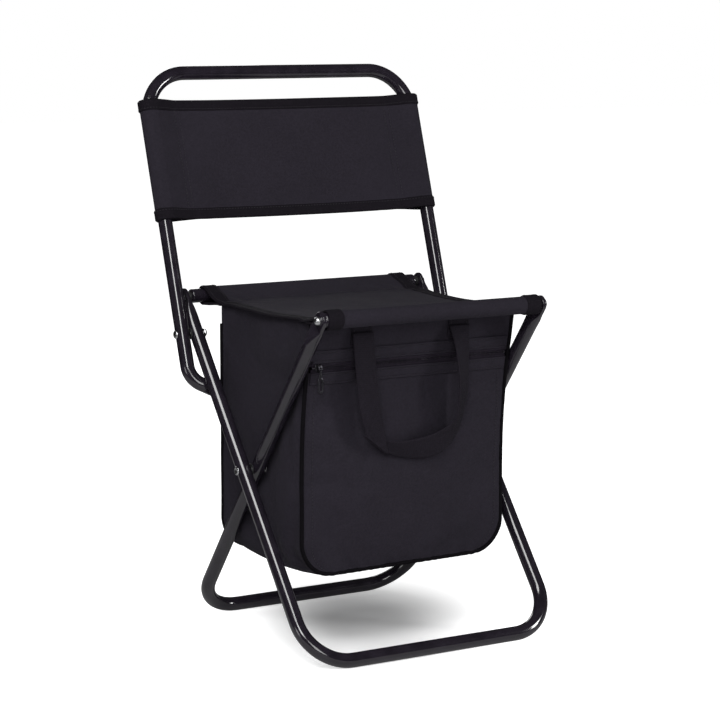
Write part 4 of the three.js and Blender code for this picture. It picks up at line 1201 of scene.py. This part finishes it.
def zipper_strip(rises, lift, thickness):
    """A strip of cloth along the zipper, at rises above its teeth and lifts off the bag."""
    z = zipper_z + rises[:, None] * math.cos(FLAP_LEAN)
    grid = front_strip(tape_x[None, :], z, np.broadcast_to(lift, rises.shape)[:, None])
    return Sheet(grid, thickness, cloth_map(rises, tape_x))


bag_seams = []
coil_steps = COIL_TURNS * COIL_STEPS_PER_TURN + 1
coil_x = np.linspace(-ZIPPER_HALF_WIDTH + COIL_INSET, ZIPPER_HALF_WIDTH - COIL_INSET, coil_steps)
for name, sign in (("upper", 1), ("lower", -1)):
    tape = zipper_strip(sign * np.linspace(TAPE_GAP, TAPE_END, 9), TAPE_LIFT, TAPE)
    piece = tape.piece(f"zipper_{name}_tape_cloth", "zipper_tape", "binding_tape")
    hang(piece, "outer_frame", f"zipper_{name}_tape")
    rises = np.linspace(FOLD_START, FOLD_END, 22)
    roll = FOLD_ROLL * hump(rises, FOLD_START, FOLD_ROLL_WIDTH)
    grooves = sum(FOLD_GROOVE * hump(rises, rises[row], FOLD_GROOVE_WIDTH) for row in FOLD_SEAMS)
    fold = zipper_strip(sign * rises, FOLD_LIFT + roll - grooves, FOLD)
    hang(fold.piece(f"zipper_{name}_fold", "polyester"), "outer_frame")
    bag_seams += [fold.line(row, fold.facing(FORWARD)) for row in FOLD_SEAMS]
for name, sign in (("upper", 1), ("lower", -1)):
    turn = np.arange(coil_steps) / COIL_STEPS_PER_TURN * 2 * math.pi + (0 if sign > 0 else math.pi)
    z = zipper_z + sign * COIL_OFFSET + COIL_R * np.cos(turn)
    y = front_surface_y(coil_x, np.full_like(coil_x, zipper_z)) - PANEL / 2 - COIL_LIFT * (1 + np.sin(turn))
    path = point_path(np.stack([coil_x, y, z], axis=-1))
    rings = swept(path, UP, lambda k: oval(COIL_THREAD_R, COIL_THREAD_R, 2, 5))
    coil = tube_piece(f"zipper_coil_{name}", rings, "zipper_coil")
    hang(coil, "outer_frame", *(["zipper_teeth"] if sign > 0 else []))


def block_rings(center, half, power=5):
    """A small block with well-rounded edges."""
    rings = []
    for share in np.sin(np.linspace(-math.pi / 2, math.pi / 2, 13)):
        girth = max((1 - abs(share) ** power) ** (1 / power), 0.05)
        rings.append([(center[0] + half[0] * share, center[1] + v, center[2] + u)
                      for u, v in oval(half[2] * girth, half[1] * girth, power, 24)])
    return np.array(rings)


def metal_piece(name, rings, body, *nodes, closed=False):
    """A small metal piece of the zipper."""
    hang(tube_piece(name, rings, "zipper_metal", closed=closed), body, *nodes)


for side in SIDES:
    node = f"zipper_stop_{side}"
    low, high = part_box(node)
    metal_piece(f"{node}_clip", block_rings(middle(node), (high - low) / 2), "outer_frame", node)


# Slider and pull
pull = hinges["pull_tab_swing"]
tilt = Matrix.Rotation(-FLAP_LEAN, 3, "X")
slider_center = Vector((pull.x, front_surface_y(pull.x, zipper_z) - PANEL / 2, zipper_z))


def tilted(rings):
    """Rings given from the slider's middle, set on the leaning flap."""
    return np.array([[tuple(slider_center + tilt @ Vector(point)) for point in ring] for ring in rings])


def slider_plate(forward, thickness):
    """The slider's front wing: broad at the mouth, narrower at the tail, with rounded edges."""
    rings = []
    for share in np.linspace(-1, 1, 19):
        width = SLIDER_HALF_WIDTH + SLIDER_FLARE * math.cos(math.pi * (share + 1) / 2)
        round_off = max((1 - abs(share) ** 6) ** (1 / 6), 0.25)
        section = oval(width * round_off, thickness / 2 * (0.5 + 0.5 * round_off), 4, 20)
        rings.append([(SLIDER_HALF_LENGTH * share, -forward - v, u) for u, v in section])
    return tilted(rings)


metal_piece("zipper_slider_plate", slider_plate(forward=0.0024, thickness=0.0012), "slider", "zipper_slider")
bridge_corners = [(0, -0.002, 0.0035), (0, -0.0052, 0.0030), (0, -0.0052, -0.0030), (0, -0.002, -0.0035)]
bridge_path = bent_path(bridge_corners, [0.0013, 0.0013], 8)
bridge = tilted(swept(bridge_path, X_AXIS, lambda k: oval(0.0016, 0.0005, 3, 14)))
metal_piece("zipper_slider_bridge", bridge, "slider")

grip_top = pull.z - GRIP_BELOW_HINGE
grip_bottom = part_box("zipper_pull")[0].z + GRIP_END_INSET
loop = []
for half, start, end in ((-GRIP_HALF_WIDTH, grip_bottom, grip_top), (GRIP_HALF_WIDTH, grip_top, grip_bottom)):
    loop += [(half * math.cos(a), start + half * math.sin(a)) for a in np.linspace(0, math.pi, 15)]
    loop += [(-half, z) for z in np.linspace(start, end, 8)[1:-1]]
grip_path = point_path([(pull.x + x, pull.y, z) for x, z in loop], closed=True)
grip = swept(grip_path, (0, 1, 0), lambda k: oval(0.0007, 0.0011, 3, 14))
metal_piece("zipper_pull_grip", grip, "pull_tab", "zipper_pull", closed=True)
eye = ring_about_x(pull, 0, PULL_EYE_R, circle(24))
eye_rings = swept(point_path(eye, closed=True), X_AXIS, lambda k: oval(0.0011, 0.00045, 3, 12))
metal_piece("zipper_pull_eye", eye_rings, "pull_tab", closed=True)
neck_drops = np.linspace(PULL_EYE_R, PULL_NECK_END, 10)
neck_path = point_path([(pull.x, pull.y, pull.z - drop) for drop in neck_drops])
neck_rings = swept(neck_path, X_AXIS, lambda k: oval(0.0011 + 0.00012 * k, 0.0006, 4, 16))
metal_piece("zipper_pull_neck", neck_rings, "pull_tab")


# Carry handle
# Edges of the hanging strap in millimetres from its hinge line: down the left strand to a fold
left_strand = [
    ((-80, 0, 0), (-55, 0, 0)),
    ((-76, -2, -50), (-51, -2, -52)),
    ((-73, -2, -77), (-47, -2, -82)),
    ((-69, -1, -93), (-42, -1, -104)),
    ((-63, 0, -112), (-36, 0, -133)),
]
# From behind that fold along the bottom and up the twisted right strand
right_strand = [
    ((-63, 3, -112), (-36, 4, -133)),
    ((-30, 1, -122), (-17, 7, -140)),
    ((0, -2, -122), (9, 5, -144)),
    ((29, -5, -115), (34, 1, -140)),
    ((48, -9, -100), (57, 3, -120)),
    ((51, -11, -70), (67, 1, -86)),
    ((50, -11, -48), (69, 0, -62)),
    ((47, -8, -20), (70, 0, -26)),
    ((45, 0, 0), (70, 0, 0)),
]


def strap_edges(rows, count):
    """Both edges of a length of strap, as smooth curves in metres."""
    rows = np.array(rows) / 1000
    return np.stack([curve_through(rows[:, 0], count), curve_through(rows[:, 1], count)], axis=1)


def strap_fold(crease, depth):
    """The strap's turn over a slanted crease, from its front to behind it."""
    out = np.cross(unit(crease[1] - crease[0]), (0, 1, 0))
    out *= np.sign(out[2]) * -1
    radius = depth / 2
    return np.array([crease + out * radius * math.sin(t) + np.array((0, radius * (1 - math.cos(t)), 0))
                     for t in np.linspace(0, math.pi, 11)[1:-1]])


down_edges = strap_edges(left_strand, 60)
up_edges = strap_edges(right_strand, 110)
fold_edges = strap_fold(down_edges[-1], up_edges[0, 0, 1] - down_edges[-1, 0, 1])
strap_rows = np.vstack([down_edges, fold_edges, up_edges]) + np.array(hinges["handle_swing"])
strap_across = np.linspace(-WEBBING_HALF_WIDTH, WEBBING_HALF_WIDTH, 13)
strap_shares = np.linspace(0, 1, 13)[None, :, None]
strap_grid = strap_rows[:, :1] * (1 - strap_shares) + strap_rows[:, 1:] * strap_shares
strap_travel = travelled(strap_rows.mean(axis=1))
strap = Sheet(strap_grid, WEBBING, cloth_map(strap_travel, strap_across))
strap_piece = hang(strap.piece("handle_webbing", "webbing"), "handle", "handle_strap")

for side, sign in SIDES.items():
    node = f"handle_end_{side}"
    low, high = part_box(node)
    x = HANDLE_SHIFT + sign * HANDLE_HALF_SPACING + strap_across[None, :]
    z = np.linspace(low.z, high.z, 25)
    lift = STRAP_END_LIFT + STRAP_END_ROLL * hump(z, low.z + 0.004, 0.004)
    end = Sheet(front_strip(x, z[:, None], lift[:, None]), WEBBING, cloth_map(z, strap_across))
    hang(end.piece(f"{node}_webbing", "webbing"), "outer_frame", node)
    face = end.facing(FORWARD)
    bag_seams += [end.line(np.s_[row, 1:-1], face) for row in (2, 10, 22)]
    bag_seams += [end.line(np.s_[2:23, column], face) for column in (1, 11)]

# Stitching on the bag
inset = PANEL_STITCH_INSET
for pick in (np.s_[:-inset, inset], np.s_[-1 - inset, inset:-inset], np.s_[:-inset, -1 - inset]):
    bag_seams.append(front.line(pick, front.facing(FORWARD)))
hang(stitch_piece("bag_stitches", bag_seams), "outer_frame")


# Camera at the photograph's place
TARGET = Vector((-0.0085, -0.0265, 0.3069))
YAW = math.radians(32.05)
PITCH = math.radians(8.11)
DISTANCE = 2.7204
lens = bpy.data.cameras.new("camera")
lens.lens = 121.3
lens.sensor_width = 36
lens.dof.use_dof = False
camera = new_object("camera", lens)
back_way = Vector((-math.sin(YAW) * math.cos(PITCH), -math.cos(YAW) * math.cos(PITCH), math.sin(PITCH)))
camera.location = TARGET + back_way * DISTANCE
camera.rotation_euler = (-back_way).to_track_quat("-Z", "Y").to_euler()
bpy.context.scene.camera = camera


# Stage
FLOOR_HALF = 12
FLOOR_PAINT = 0.83
SHADE_PLACE = (0.003, -0.012, 0)
SHADE_SIZE = (0.180, 0.280, 1)
MIRROR_NEAR = 0.55
MIRROR_FAR = 1.3
MIRROR_LOSS_NEAR = 0.28
MIRROR_LOSS_FAR = 0.80
SKY_COLOR = (0.96, 0.98, 1.0, 1)
SKY_LIGHT = 0.115
SKY_MIRRORED = 0.045


def floor_material():
    """Pale floor, white to the camera but for a soft pool of shade, and dimmer far off in reflections."""
    material = bpy.data.materials.new("studio_floor")
    nodes = Nodes(material)
    nodes.tree.nodes.clear()
    seen = nodes.add("LightPath").outputs
    place = nodes.add("TexCoord").outputs["Object"]
    away = nodes.distance(place)
    loss = nodes.smooth_range(away, MIRROR_NEAR, MIRROR_FAR, MIRROR_LOSS_NEAR, MIRROR_LOSS_FAR)
    tone = nodes.math("SUBTRACT", FLOOR_PAINT, nodes.math("MULTIPLY", seen["Is Glossy Ray"], loss))
    paint = nodes.add("BsdfDiffuse", {"Color": tone})
    sockets = {"Vector": place, "Location": SHADE_PLACE, "Rotation": (0, 0, -YAW), "Scale": SHADE_SIZE}
    pool = nodes.add("Mapping", sockets, vector_type="TEXTURE").outputs["Vector"]
    rise = nodes.smooth_range(nodes.distance(pool), 0.2, 1.05, 0.0, 1.0)
    glow = nodes.add("Emission", {"Strength": nodes.math("MULTIPLY", seen["Is Camera Ray"], rise)})
    both = nodes.add("AddShader", {0: paint.outputs[0], 1: glow.outputs[0]})
    nodes.add("OutputMaterial", {"Surface": both.outputs[0]})
    return material


def studio_world():
    """White to the camera, a plain dim sky on the object and a dimmer one in its reflections."""
    world = bpy.data.worlds.new("studio")
    nodes = Nodes(world)
    nodes.tree.nodes.clear()
    seen = nodes.add("LightPath").outputs
    sky = nodes.add("Background", {"Color": SKY_COLOR, "Strength": SKY_LIGHT})
    white = nodes.add("Background", {"Color": (1, 1, 1, 1), "Strength": 1.0})
    mirrored = nodes.add("Background", {"Strength": SKY_MIRRORED})
    plain = nodes.add("MixShader", {0: seen["Is Camera Ray"], 1: sky.outputs[0], 2: white.outputs[0]})
    all_rays = nodes.add("MixShader", {0: seen["Is Glossy Ray"], 1: plain.outputs[0], 2: mirrored.outputs[0]})
    nodes.add("OutputWorld", {"Surface": all_rays.outputs[0]})
    return world


def softbox(name, place, aim, size, power):
    light = bpy.data.lights.new(name, "AREA")
    light.shape = "RECTANGLE"
    light.size, light.size_y = size
    light.energy = power
    lamp = new_object(name, light)
    lamp.location = place
    lamp.rotation_euler = (Vector(aim) - Vector(place)).to_track_quat("-Z", "Y").to_euler()


floor_corners = [(FLOOR_HALF * x, FLOOR_HALF * y, 0) for x, y in ((-1, -1), (1, -1), (1, 1), (-1, 1))]
floor_mesh = new_mesh("studio_floor", floor_corners, [(0, 1, 2, 3)])
floor_mesh.materials.append(floor_material())
floor = new_object("studio_floor", floor_mesh)
bpy.context.scene.world = studio_world()
softbox("leg_softbox", (-1.38, -0.95, 2.0), (-0.15, -0.03, 0.22), (1.55, 0.7), 32.7)
softbox("left_fill", (-2.3, -0.55, 0.30), (0, 0, 0.3), (0.6, 0.6), 3.5)
softbox("right_key", (1.9, -1.5, 0.75), (0, -0.05, 0.3), (0.3, 0.9), 25)
softbox("front_fill", (-0.7, -2.4, 0.8), (0, -0.05, 0.25), (0.9, 0.9), 14.5)
softbox("post_strip", (-1.2, -1.6, 1.35), (0, 0.15, 0.5), (0.55, 0.7), 15)
softbox("rear_fill", (0.6, 2.4, 1.0), (0, 0, 0.3), (1.2, 0.8), 10)
bpy.context.scene.view_settings.view_transform = "Standard"
